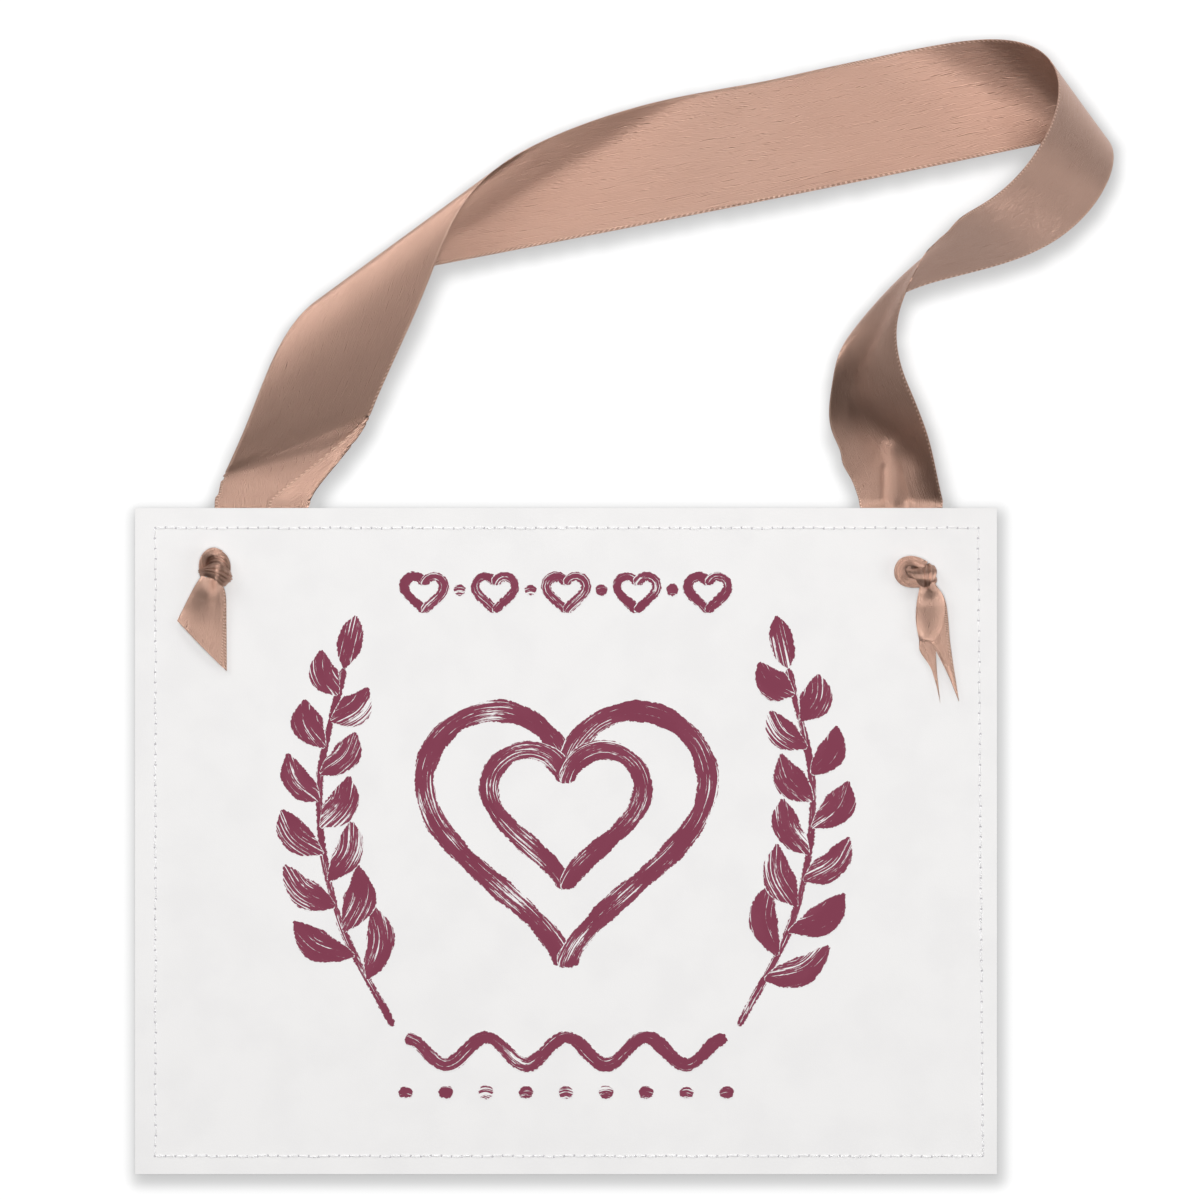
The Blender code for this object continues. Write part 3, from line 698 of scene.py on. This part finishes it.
# %% The knots' bands
BAND_ROWS = 40
BAND_COLUMNS = 33
RIM_COLUMNS = 6
LEFT_KNOT = {
    "inside": {
        "edges": (((-3.9, 1.6, 0.5), (-3.6, 6.6, 0.6)), ((-1.0, 0.6, 0.6), (-0.8, 8.2, 0.8)),
                  ((2.4, -0.4, 0.6), (2.6, 7.6, 0.8)), ((4.2, 0.4, 0.5), (4.4, 5.6, 0.6))),
        "bulge": 0.5, "gathers": 3, "depth": 0.1, "rim": 0.0,
    },
    "loop": {
        "edges": (((-4.3, 0.6, 0.5), (-2.0, 1.8, 1.0)), ((-4.9, 3.4, 0.6), (-2.9, 3.9, 2.6)),
                  ((-4.6, 6.2, 0.7), (-2.8, 6.2, 3.4)), ((-2.9, 8.9, 0.8), (-1.9, 7.7, 4.2)),
                  ((-0.2, 10.2, 1.0), (-0.2, 8.5, 4.6)), ((2.7, 9.2, 1.0), (1.9, 7.9, 4.4))),
        "bulge": 0.6, "gathers": 3, "depth": 0.2, "rim": 0.3,
    },
    "shoulder": {
        "edges": (((-2.3, 7.4, 2.8), (-2.6, 4.0, 1.4)), ((-0.8, 9.3, 3.7), (-1.0, 4.8, 2.4)),
                  ((1.4, 9.7, 3.8), (1.0, 5.0, 3.2)), ((3.8, 8.1, 3.2), (2.5, 4.3, 3.6)),
                  ((5.1, 5.5, 2.2), (3.0, 3.2, 3.4)), ((5.2, 2.8, 1.2), (3.2, 1.4, 2.6)),
                  ((4.2, 0.2, 0.6), (2.4, 0.0, 1.4))),
        "bulge": 0.6, "gathers": 4, "depth": 0.26, "rim": 0.25,
    },
    "wrap": {
        "edges": (((-3.9, 3.7, 1.5), (-4.6, 1.7, 1.4)), ((-2.5, 4.2, 3.1), (-2.7, 1.7, 3.1)),
                  ((-0.9, 5.1, 4.5), (-0.6, 1.1, 4.1)), ((1.2, 5.4, 5.1), (1.1, -0.2, 4.4)),
                  ((3.0, 4.6, 4.7), (2.5, -1.5, 3.4)), ((4.7, 3.4, 3.4), (3.6, -1.8, 2.1)),
                  ((5.4, 2.2, 1.4), (4.3, -1.2, 0.7))),
        "bulge": 0.9, "gathers": 4, "depth": 0.3, "rim": 0.42,
    },
}
RIGHT_KNOT = {
    "inside": {
        "edges": (((-5.6, 0.4, 0.5), (-5.2, 5.4, 0.6)), ((-2.6, -0.8, 0.6), (-2.2, 6.2, 0.8)),
                  ((1.2, -1.6, 0.6), (1.6, 5.6, 0.8)), ((4.4, -1.0, 0.5), (4.8, 3.8, 0.6))),
        "bulge": 0.5, "gathers": 3, "depth": 0.1, "rim": 0.0,
    },
    "loop": {
        "edges": (((0.8, -2.4, 0.8), (0.5, -0.5, 2.8)), ((-2.2, -2.5, 0.6), (-1.8, -0.3, 2.8)),
                  ((-5.3, -1.6, 0.5), (-3.7, 0.2, 2.8)), ((-7.3, 0.8, 0.5), (-4.7, 1.6, 3.0)),
                  ((-7.4, 3.9, 0.6), (-4.6, 3.4, 3.2)), ((-5.8, 6.5, 0.7), (-3.5, 4.8, 3.6)),
                  ((-3.0, 7.5, 0.9), (-1.9, 5.2, 4.2)), ((0.2, 7.0, 1.2), (-0.2, 4.8, 4.5)),
                  ((3.2, 5.5, 1.6), (1.8, 3.9, 4.5))),
        "bulge": 0.8, "gathers": 4, "depth": 0.28, "rim": 0.3,
    },
    "curl": {
        "edges": (((-3.9, 3.2, 1.2), (-3.3, 2.6, 2.6)), ((-3.4, 1.7, 1.2), (-2.7, 1.9, 2.8)),
                  ((-2.0, 0.4, 1.4), (-1.4, 1.1, 3.0)), ((0.2, -0.6, 1.6), (0.4, 0.4, 3.2))),
        "bulge": 0.25, "gathers": 1, "depth": 0.05, "rim": 0.2,
    },
    "wrap": {
        "edges": (((5.4, 4.4, 1.2), (-1.7, 4.5, 2.4)), ((6.0, 2.9, 1.9), (-1.5, 3.4, 4.2)),
                  ((5.8, 1.3, 2.2), (-0.9, 1.7, 5.0)), ((5.1, -0.3, 2.2), (-0.1, -0.2, 4.8)),
                  ((4.2, -1.6, 1.8), (0.8, -1.7, 3.4)), ((3.6, -2.4, 1.3), (1.5, -2.5, 1.9))),
        "bulge": 1.2, "gathers": 4, "depth": 0.38, "rim": 0.35,
    },
    "ear": {
        "edges": (((4.2, 0.8, 1.2), (4.4, 0.4, 2.2)), ((5.4, 1.2, 1.2), (5.2, 0.6, 2.4)),
                  ((6.1, 0.2, 1.0), (5.5, 0.0, 2.3)), ((5.8, -1.1, 0.9), (5.2, -0.7, 2.0)),
                  ((4.3, -1.7, 0.8), (4.2, -1.1, 1.8))),
        "bulge": 0.25, "gathers": 1, "depth": 0.04, "rim": 0.15,
    },
}
KNOT_BANDS = {"left": LEFT_KNOT, "right": RIGHT_KNOT}


def band_rows(band):
    """Rows of a band: from one edge over its bulge to the other edge, and round the rolled rim there."""
    edges = through(band["edges"], BAND_ROWS + 1)
    first, second = edges[:, :1], edges[:, 1:]
    ahead = np.gradient(edges.mean(axis=1), axis=0)[:, None, :]
    width = second - first
    up = np.cross(ahead, width)
    up *= np.sign(up[..., 2:] + 1e-9) / np.linalg.norm(up, axis=-1, keepdims=True)
    share = np.linspace(0.0, 1.0, BAND_COLUMNS)[None, :, None]
    gathers = np.cos(2.0 * np.pi * band["gathers"] * share) * np.sin(np.pi * share)
    face = first + width * share + up * (band["bulge"] * np.sin(np.pi * share) + band["depth"] * gathers)
    if not band["rim"]:
        return face
    outward = width / np.linalg.norm(width, axis=-1, keepdims=True)
    angle = np.linspace(0.0, 1.25 * np.pi, RIM_COLUMNS + 1)[None, 1:, None]
    rim = second + band["rim"] * (outward * np.sin(angle) - up * (1.0 - np.cos(angle)))
    return np.concatenate((face, rim), axis=1)


NECK_RADIUS = 1.9
NECK_PLEATS = 7
NECK_PLEAT = 0.25
NECK_HEIGHTS = (-1.2, 1.0)
NECK_ROWS = 6
NECK_COLUMNS = 57
KNOT_MARGIN = 4.0


def neck_rows():
    """The gathered ribbon that comes up through the hole, as rows of a pleated tube."""
    turn = np.linspace(0.0, 2.0 * np.pi, NECK_COLUMNS)[None, :]
    height = np.linspace(*NECK_HEIGHTS, NECK_ROWS)[:, None]
    radius = NECK_RADIUS + NECK_PLEAT * np.sin(NECK_PLEATS * turn)
    return np.stack(np.broadcast_arrays(radius * np.cos(turn), radius * np.sin(turn), height), axis=-1)


def knot_cloth(name, rows, along):
    across = np.linspace(KNOT_MARGIN, RIBBON_WIDTH - KNOT_MARGIN, rows.shape[1])
    return lay_cloth(name, rows, along[:, None], across[None, :])


def tie_knot(side):
    """All bands of a knot and its neck, joined into one piece."""
    neck = neck_rows() + HOLES[side]
    bands = [knot_cloth(f"neck_{side}", neck, neck[:, 0, 2])]
    for name, band in KNOT_BANDS[side].items():
        rows = band_rows(band) + HOLES[side]
        bands.append(knot_cloth(f"{name}_{side}", rows, length_along(rows.mean(axis=1))))
    return join_pieces(bands, f"ribbon_knot_{side}")


for knot_side in KNOT_BANDS:
    knot = tie_knot(knot_side)
    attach(knot, f"{knot_side}_knot")
    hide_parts(f"{knot_side}_knot")
    print(knot.name, len(knot.data.polygons), "faces")

# %% [markdown]
# The card is heavy matt paper. Its face is off-white with a faint mottling from the pulp.

# %% The card's finish
PAPER = (0.845, 0.835, 0.83)
PAPER_SHADE = (0.82, 0.81, 0.807)


def paper_colour(finish):
    mottle = finish.noise(finish.vector(*finish.place()), 0.06, detail=4.0)
    return finish.blend(mottle.rises(0.35, 0.7), PAPER, PAPER_SHADE)


def paper_finish():
    finish = Finish("card_paper", Roughness=0.85, IOR=1.45)
    grain = finish.noise(finish.vector(*finish.place()), 2.5, detail=3.0)
    finish.feed("Base Color", paper_colour(finish))
    finish.relief(grain, 0.00004, 0.5)
    return finish.material


paper = paper_finish()
for sheet_name in ("front_sheet", "back_sheet"):
    sheet_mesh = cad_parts[sheet_name].data
    sheet_mesh.materials.clear()
    sheet_mesh.materials.append(paper)
print("card ready")

# %% [markdown]
# The front is painted with a nearly dry brush. Each stroke is a strip of its own, laid a hair above the
# card. Its UV map holds millimetres along and across the stroke, and an attribute holds the distance to its
# nearest edge, so bristle streaks run along the stroke and its edge is ragged.

# %% The paint's finish
PLUM = (0.2, 0.03, 0.065)
PLUM_WORN = (0.27, 0.06, 0.105)
STREAK_SPACING = 0.9


def paint_finish():
    finish = Finish("dry_plum_paint", Roughness=0.8, IOR=1.45)
    along, across = finish.place("UV")[:2]
    margin = finish.node("ShaderNodeAttribute", {"attribute_name": "margin"}, {}, output="Fac")
    ragged = finish.noise(finish.vector(along * 0.9, across * 1.4), 1.0, detail=3.0)
    inside = (margin + (ragged - 0.5) * 1.5).rises(0.05, 0.3)
    bristles = finish.vector(along * 0.05, across / STREAK_SPACING * 1.6)
    streaks = finish.noise(bristles, 1.0, detail=3.0, roughness=0.6)
    patches = finish.noise(finish.vector(along * 0.05, across * 0.12), 1.0)
    speck = finish.noise(finish.vector(along * 0.6, across * 2.6), 1.0)
    bare = (streaks + (patches - 0.5) * 0.5 + (speck - 0.5) * 0.22).rises(0.595, 0.655)
    painted = inside * (1.0 - bare)
    plum = finish.blend(patches.rises(0.35, 0.75) * 0.4, PLUM, PLUM_WORN)
    finish.feed("Base Color", finish.blend(painted, paper_colour(finish), plum))
    return finish.material


paint = paint_finish()
print("paint ready")

# %% [markdown]
# A stroke is a grid along a curve. Its width swells and ends as a brush does, and its ends are rounded.

# %% A brush stroke
STROKE_COLUMNS = 7
LIFT = 0.03
LIFT_STEP = 0.002
STROKE_SHIFTS = (37.0, 11.0)
strokes = []


def brush_stroke(places, width, swell=0.0):
    """A strip of paint along the places. With swell 1 it is a leaf, pointed at both ends."""
    order = len(strokes)
    places = np.asarray(places, dtype=float)
    run = np.linalg.norm(np.diff(places, axis=0), axis=1).sum()
    count = max(9, int(run / 1.2))
    line = through(places, count)
    ahead = np.gradient(line, axis=0)
    ahead /= np.linalg.norm(ahead, axis=1, keepdims=True)
    aside = np.stack((-ahead[:, 1], ahead[:, 0]), axis=1)
    along = length_along(line)
    end = np.minimum(along, along[-1] - along)
    blunt = np.sqrt(np.clip(end / (0.35 * width), 0.0, 1.0) * 0.75 + 0.25)
    leaf = np.sin(np.pi * np.clip(along / along[-1], 0.02, 0.98)) ** 0.75
    half = 0.5 * width * (blunt * (1.0 - swell) + leaf * swell)
    half *= 1.0 + 0.09 * np.sin(along * 0.23 + order * 1.7) + 0.05 * np.sin(along * 0.61 + order)
    share = np.linspace(-1.0, 1.0, STROKE_COLUMNS)
    flat = line[:, None, :] + aside[:, None, :] * (half[:, None] * share[None, :])[..., None]
    height = np.full(flat.shape[:2], CARD_FACE + LIFT + LIFT_STEP * order)
    rows = np.concatenate((flat, height[..., None]), axis=-1)
    margin = np.minimum(half[:, None] * (1.0 - np.abs(share)[None, :]), end[:, None] + 0.2)
    shift_along, shift_across = STROKE_SHIFTS
    flat_places = np.stack((np.broadcast_to(along[:, None] + shift_along * order, margin.shape),
                            half[:, None] * share[None, :] + shift_across * order), axis=-1)
    piece = grid_piece("stroke", rows, flat_places)
    attribute = piece.data.attributes.new("margin", "FLOAT", "POINT")
    attribute.data.foreach_set("value", margin.astype(np.float32).ravel())
    strokes.append(piece)


def heart(middle, width, brush):
    """Two strokes from the heart's point up each side to the notch."""
    for side in (-1, 1):
        t = np.linspace(math.pi, 0.0, 15)
        x = side * 16.0 * np.sin(t) ** 3
        y = 13.0 * np.cos(t) - 5.0 * np.cos(2 * t) - 2.0 * np.cos(3 * t) - np.cos(4 * t)
        brush_stroke(np.stack((middle[0] + x * width / 32.0, middle[1] + y * width / 32.0), axis=1), brush)


def sprig(places, brush, leaf_length, pairs):
    """A stem with pairs of leaves and one leaf at its tip."""
    brush_stroke(places, brush)
    stem = through(places, pairs * 2 + 3)
    ahead = np.gradient(stem, axis=0)
    for i in range(2, 2 * pairs + 2):
        side = 1 if i % 2 else -1
        heading = math.atan2(ahead[i][1], ahead[i][0]) + side * math.radians(48)
        reach = leaf_length * (1.0 - 0.35 * i / (2 * pairs))
        middle = stem[i] + 0.55 * reach * np.array((math.cos(heading), math.sin(heading)))
        heading += side * math.radians(-14)
        tip = stem[i] + reach * np.array((math.cos(heading), math.sin(heading)))
        brush_stroke((stem[i], middle, tip), 0.4 * leaf_length, swell=1.0)
    tip = stem[-1] + ahead[-1] / np.linalg.norm(ahead[-1]) * leaf_length * 0.7
    brush_stroke((stem[-1], 0.5 * (stem[-1] + tip), tip), 0.36 * leaf_length, swell=1.0)


print("brush ready")

# %% [markdown]
# Two nested hearts stand between two leafy sprigs. A row of small hearts and dots lies above them, and a
# wavy line over a row of dots below. All strokes are joined into one piece, which rides on the card.

# %% The painted design
SPRIG = ((56.0, -168.0), (74.0, -132.0), (80.0, -92.0), (72.0, -52.0))

heart((0.0, -100.0), 92.0, 7.0)
heart((0.0, -97.0), 50.0, 6.4)
for side in (-1, 1):
    sprig([(side * x, y) for x, y in SPRIG], 2.6, 25.0, 6)
for x in (-46.0, -23.0, 0.0, 23.0, 46.0):
    heart((x, -27.0), 13.0, 3.4)
for x in (-34.5, -11.5, 11.5, 34.5):
    brush_stroke(((x - 1.8, -27.0), (x, -26.6), (x + 1.8, -27.0)), 4.0)
wave_x = np.linspace(-52.0, 52.0, 27)
brush_stroke(np.stack((wave_x, -176.0 + 4.5 * np.cos(wave_x * 0.242)), axis=1), 4.6)
for x in np.linspace(-52.0, 52.0, 9):
    brush_stroke(((x - 2.2, -190.0), (x, -189.4), (x + 2.2, -190.0)), 4.4)
design = join_pieces(strokes, "painted_design")
design.data.materials.append(paint)
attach(design, "board")
print(f"design of {len(strokes)} strokes, {len(design.data.polygons)} faces")

# %% [markdown]
# The two cards are sewn together with white thread. Between two needle holes the thread lies on the card as
# a short arch, and it dips into the holes. One stitch is modelled from a six-sided cylinder, cut into short
# lengths and bent, and copied along all four sides. A small grey disc at each hole is painted shade: it
# darkens the card where the hole sinks in.

# %% The stitches
STITCH_PITCH = 3.33
THREAD_WIDTH = 0.34
STITCH_RISE = 0.3
STITCH_SINK = 0.05
STITCH_FLATNESS = 0.8
HOLE_WIDTH = 0.85
HOLE_SHADE_LIFT = 0.015
SEAM_TOP = -6.5
SEAM_LEFT = -CARD_WIDTH / 2 + 6.6
SEAM_BOTTOM = -CARD_HEIGHT + 5.8
SEAM_RIGHT_HIGH = CARD_WIDTH / 2 - 6.1
SEAM_RIGHT_LOW = CARD_WIDTH / 2 - 4.6
SEAM_CORNERS = (
    (SEAM_LEFT, SEAM_TOP),
    (SEAM_RIGHT_HIGH, SEAM_TOP),
    (SEAM_RIGHT_LOW, SEAM_BOTTOM),
    (SEAM_LEFT, SEAM_BOTTOM),
)
thread = Finish("white_thread", Base_Color=(0.87, 0.865, 0.87, 1.0), Roughness=0.7).material
# The grey of the needle holes is painted shade, not a colour of the card.
hole_shade_paint = Finish("needle_hole_painted_shade", Base_Color=(0.52, 0.505, 0.525, 1.0), Roughness=0.95).material


def needle_places():
    """Needle holes round the border, with the heading to the next one."""
    places = []
    for (x0, y0), (x1, y1) in zip(SEAM_CORNERS, SEAM_CORNERS[1:] + SEAM_CORNERS[:1]):
        run = math.hypot(x1 - x0, y1 - y0)
        heading = math.atan2(y1 - y0, x1 - x0)
        count = round(run / STITCH_PITCH)
        for i in range(count):
            places.append((x0 + (x1 - x0) * i / count, y0 + (y1 - y0) * i / count, heading, run / count))
    return places


def model_stitch():
    clear_selection()
    bpy.ops.mesh.primitive_cylinder_add(vertices=6, radius=THREAD_WIDTH / 2, depth=STITCH_PITCH - 0.35)
    bpy.ops.object.mode_set(mode="EDIT")
    bpy.ops.mesh.select_all(action="SELECT")
    bpy.ops.mesh.subdivide(number_cuts=3)
    bpy.ops.object.mode_set(mode="OBJECT")
    stitch = bpy.context.object
    points = np.array([vertex.co for vertex in stitch.data.vertices])
    along = points[:, 2] / (0.5 * STITCH_PITCH)
    height = points[:, 1] * STITCH_FLATNESS + STITCH_RISE * (1.0 - along**2) - STITCH_SINK
    bent = np.stack((points[:, 2], points[:, 0], height), axis=1)
    stitch.data.vertices.foreach_set("co", bent.ravel())
    stitch.data.update()
    return stitch


def model_hole_shade():
    clear_selection()
    bpy.ops.mesh.primitive_circle_add(vertices=8, radius=HOLE_WIDTH / 2, fill_type="NGON")
    return bpy.context.object


def copy_along(model, places, level, flip, midway, name, material):
    """Copies of the model, each with its own mesh, joined into one piece."""
    copies = []
    points = np.array([vertex.co for vertex in model.data.vertices])
    for order, (x, y, heading, pitch) in enumerate(places):
        drift = 0.12 * math.sin(order * 1.9) + 0.08 * math.sin(order * 0.83)
        across = np.array((-math.sin(heading), math.cos(heading)))
        middle = np.array((x, y)) + drift * across
        middle = middle + midway * 0.5 * pitch * np.array((math.cos(heading), math.sin(heading)))
        turn = heading + 0.05 * math.sin(order * 2.7)
        laid = np.stack((middle[0] + points[:, 0] * math.cos(turn) - points[:, 1] * math.sin(turn),
                         middle[1] + points[:, 0] * math.sin(turn) + points[:, 1] * math.cos(turn),
                         level + flip * points[:, 2]), axis=1)
        copy = bpy.data.objects.new(name, model.data.copy())
        bpy.context.scene.collection.objects.link(copy)
        copy.data.vertices.foreach_set("co", in_frame(laid).astype(np.float32).ravel())
        if flip < 0:
            copy.data.flip_normals()
        copies.append(copy)
    piece = join_pieces(copies, name)
    piece.data.materials.clear()
    piece.data.materials.append(material)
    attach(piece, "board")
    return piece


needle_holes = needle_places()
stitch_model = model_stitch()
hole_shade_model = model_hole_shade()
seam_front = copy_along(stitch_model, needle_holes, CARD_FACE, 1, True, "seam_front", thread)
seam_back = copy_along(stitch_model, needle_holes, CARD_UNDERSIDE, -1, True, "seam_back", thread)
# Grey discs of painted shade, one at each needle hole.
hole_shades = copy_along(hole_shade_model, needle_holes, CARD_FACE + HOLE_SHADE_LIFT, 1, False, "needle_hole_shades", hole_shade_paint)
bpy.data.objects.remove(stitch_model)
bpy.data.objects.remove(hole_shade_model)
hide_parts("front_thread")
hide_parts("back_thread")
print(f"{len(needle_holes)} stitches, {len(seam_front.data.polygons)} faces")

# %% [markdown]
# The photograph shows a soft grey shade on white, as from paper lying on a table. The same shade is worked
# out from the sign's own outline: the ribbon marks the cells of a grid, the marks are grown by a cell,
# moved down to the right and blurred, and the card's share is added. The corners of the floor's mesh keep
# the result.

# %% The shade round the sign
VIEW_WIDTH = 388.98
VIEW_CENTRE = (-8.30, 2.37)
SHADE_CELL = 1.4
SHADE_CELLS = 304
SHADE_GROWTH = 2.0
SHADE_SHIFT = (0.8, -2.0)
SHADE_BLUR = 2.1
SHADE_DEPTH = 0.2275
DISPLAY_POWER = 2.26
EDGE_STEEPNESS = 1.702


def soft_span(places, low, high):
    """1 between low and high, with edges as soft as the shade's."""
    rise = 1.0 / (1.0 + np.exp(-EDGE_STEEPNESS * (places - low) / SHADE_BLUR))
    return rise / (1.0 + np.exp(EDGE_STEEPNESS * (places - high) / SHADE_BLUR))


def shade_values(corner):
    """The shade at each corner of the floor's grid, between 0 and 1."""
    cover = np.zeros((SHADE_CELLS + 1, SHADE_CELLS + 1))
    spots = in_frame(ribbon_rows)[..., :2].reshape(-1, 2) / MM + SHADE_SHIFT
    columns, lines = np.rint((spots - corner) / SHADE_CELL).astype(int).T
    cover[lines, columns] = 1.0
    grown = np.zeros_like(cover)
    for step_x in (-1, 0, 1):
        for step_y in (-1, 0, 1):
            grown = np.maximum(grown, np.roll(cover, (step_y, step_x), axis=(0, 1)))
    kernel = np.exp(-0.5 * (np.arange(-5, 6) * SHADE_CELL / SHADE_BLUR) ** 2)
    for axis in (0, 1):
        grown = np.apply_along_axis(np.convolve, axis, grown, kernel / kernel.sum(), mode="same")
    x = corner[0] + SHADE_CELL * np.arange(SHADE_CELLS + 1) - SHADE_SHIFT[0] - CARD_MIDDLE
    y = corner[1] + SHADE_CELL * np.arange(SHADE_CELLS + 1) - SHADE_SHIFT[1] - CARD_TOP
    across = soft_span(x, -CARD_WIDTH / 2 - SHADE_GROWTH, CARD_WIDTH / 2 + SHADE_GROWTH)
    down = soft_span(y, -CARD_HEIGHT - SHADE_GROWTH, SHADE_GROWTH)
    return np.minimum(grown + down[:, None] * across[None, :], 1.0)


shade_corner = np.array(VIEW_CENTRE) - SHADE_CELL * SHADE_CELLS / 2
shade = shade_values(shade_corner)
print(f"shade worked out on {shade.size} corners")

# %% [markdown]
# The floor is one plane: a fine grid under the sign, whose border is pulled out to three metres. The camera
# sees it white, with the shade above painted into its colour as a shadow, and the lamps' light comes back
# from it as from a pale grey table.

# %% The floor
FLOOR_REACH = 3.0
FLOOR_GLOW = 0.8
FLOOR_SEEN = 0.25
FLOOR_BOUNCE = 0.4


def white_table():
    finish = Finish("white_table", Roughness=0.95, Emission_Strength=FLOOR_GLOW)
    shade_here = finish.node("ShaderNodeAttribute", {"attribute_name": "shade"}, {}, output="Fac")
    # The shade attribute darkens the floor's colour and glow round the sign: a painted shadow.
    white = (1.0 - shade_here * SHADE_DEPTH) ** DISPLAY_POWER
    rays = finish.tree.nodes.new("ShaderNodeLightPath")
    seen = Field(rays.outputs["Is Camera Ray"])
    seen = seen.most(Field(rays.outputs["Is Glossy Ray"])).most(Field(rays.outputs["Is Transmission Ray"]))
    paint_white = white * (FLOOR_BOUNCE + seen * (FLOOR_SEEN - FLOOR_BOUNCE))
    finish.feed("Base Color", finish.blend(paint_white, (0.0, 0.0, 0.0), (1.0, 1.0, 1.0)))
    finish.feed("Emission Color", finish.blend(seen * white, (0.0, 0.0, 0.0), (1.0, 1.0, 1.0)))
    return finish.material


clear_selection()
bpy.ops.mesh.primitive_grid_add(x_subdivisions=SHADE_CELLS, y_subdivisions=SHADE_CELLS, size=1.0)
floor = bpy.context.object
floor.name = "floor"
floor_places = shade_corner + SHADE_CELL * np.indices(shade.shape)[::-1].transpose(1, 2, 0)
floor_places = np.concatenate((floor_places * MM, np.zeros((*shade.shape, 1))), axis=-1)
floor_places[:, 0, 0] = -FLOOR_REACH
floor_places[:, -1, 0] = FLOOR_REACH
floor_places[0, :, 1] = -FLOOR_REACH
floor_places[-1, :, 1] = FLOOR_REACH
floor.data.vertices.foreach_set("co", floor_places.astype(np.float32).ravel())
shade_attribute = floor.data.attributes.new("shade", "FLOAT", "POINT")
shade_attribute.data.foreach_set("value", shade.astype(np.float32).ravel())
floor.data.update()
floor.data.materials.append(white_table())
print("floor ready")

# %% [markdown]
# The camera stands far above, so it sees the sign from straight above almost without perspective. Satin
# shines where it throws a lamp back to the camera, so the strongest lamp hangs over the sign too: what lies
# level is bright, and what dips is dark. Three weaker lamps stand low behind the sign and beside it.

# %% Camera and light
CAMERA_DISTANCE = 3000.0
SENSOR = 36.0

camera_data = bpy.data.cameras.new("camera")
camera_data.sensor_width = SENSOR
camera_data.lens = SENSOR * (CAMERA_DISTANCE - CARD_FACE) / VIEW_WIDTH
camera_data.clip_start = 0.1
camera = bpy.data.objects.new("camera", camera_data)
camera.location = (VIEW_CENTRE[0] * MM, VIEW_CENTRE[1] * MM, CAMERA_DISTANCE * MM)
bpy.context.scene.collection.objects.link(camera)
bpy.context.scene.camera = camera

LAMPS = {
    "top_lamp": {"at": (0.0, 0.0, 1.8), "power": 25.5},
    "back_lamp": {"at": (0.0, 1.59, 0.85), "power": 6.0},
    "left_lamp": {"at": (-1.12, 1.12, 0.85), "power": 7.5},
    "right_lamp": {"at": (1.59, 0.0, 0.85), "power": 5.0},
}
LAMP_SIZE = 0.8
WORLD_LIGHT = 0.04
for lamp_name, lamp in LAMPS.items():
    lamp_data = bpy.data.lights.new(lamp_name, "AREA")
    lamp_data.shape = "DISK"
    lamp_data.size = LAMP_SIZE
    lamp_data.energy = lamp["power"]
    lamp_object = bpy.data.objects.new(lamp_name, lamp_data)
    lamp_object.location = lamp["at"]
    lamp_object.rotation_euler = (-Vector(lamp["at"])).to_track_quat("-Z", "Y").to_euler()
    bpy.context.scene.collection.objects.link(lamp_object)

world = bpy.data.worlds.new("studio")
world.use_nodes = True
background = world.node_tree.nodes["Background"]
background.inputs["Color"].default_value = (1.0, 1.0, 1.0, 1.0)
background.inputs["Strength"].default_value = WORLD_LIGHT
bpy.context.scene.world = world
bpy.context.scene.view_settings.view_transform = "Standard"
print(f"camera and {len(LAMPS)} lamps ready")
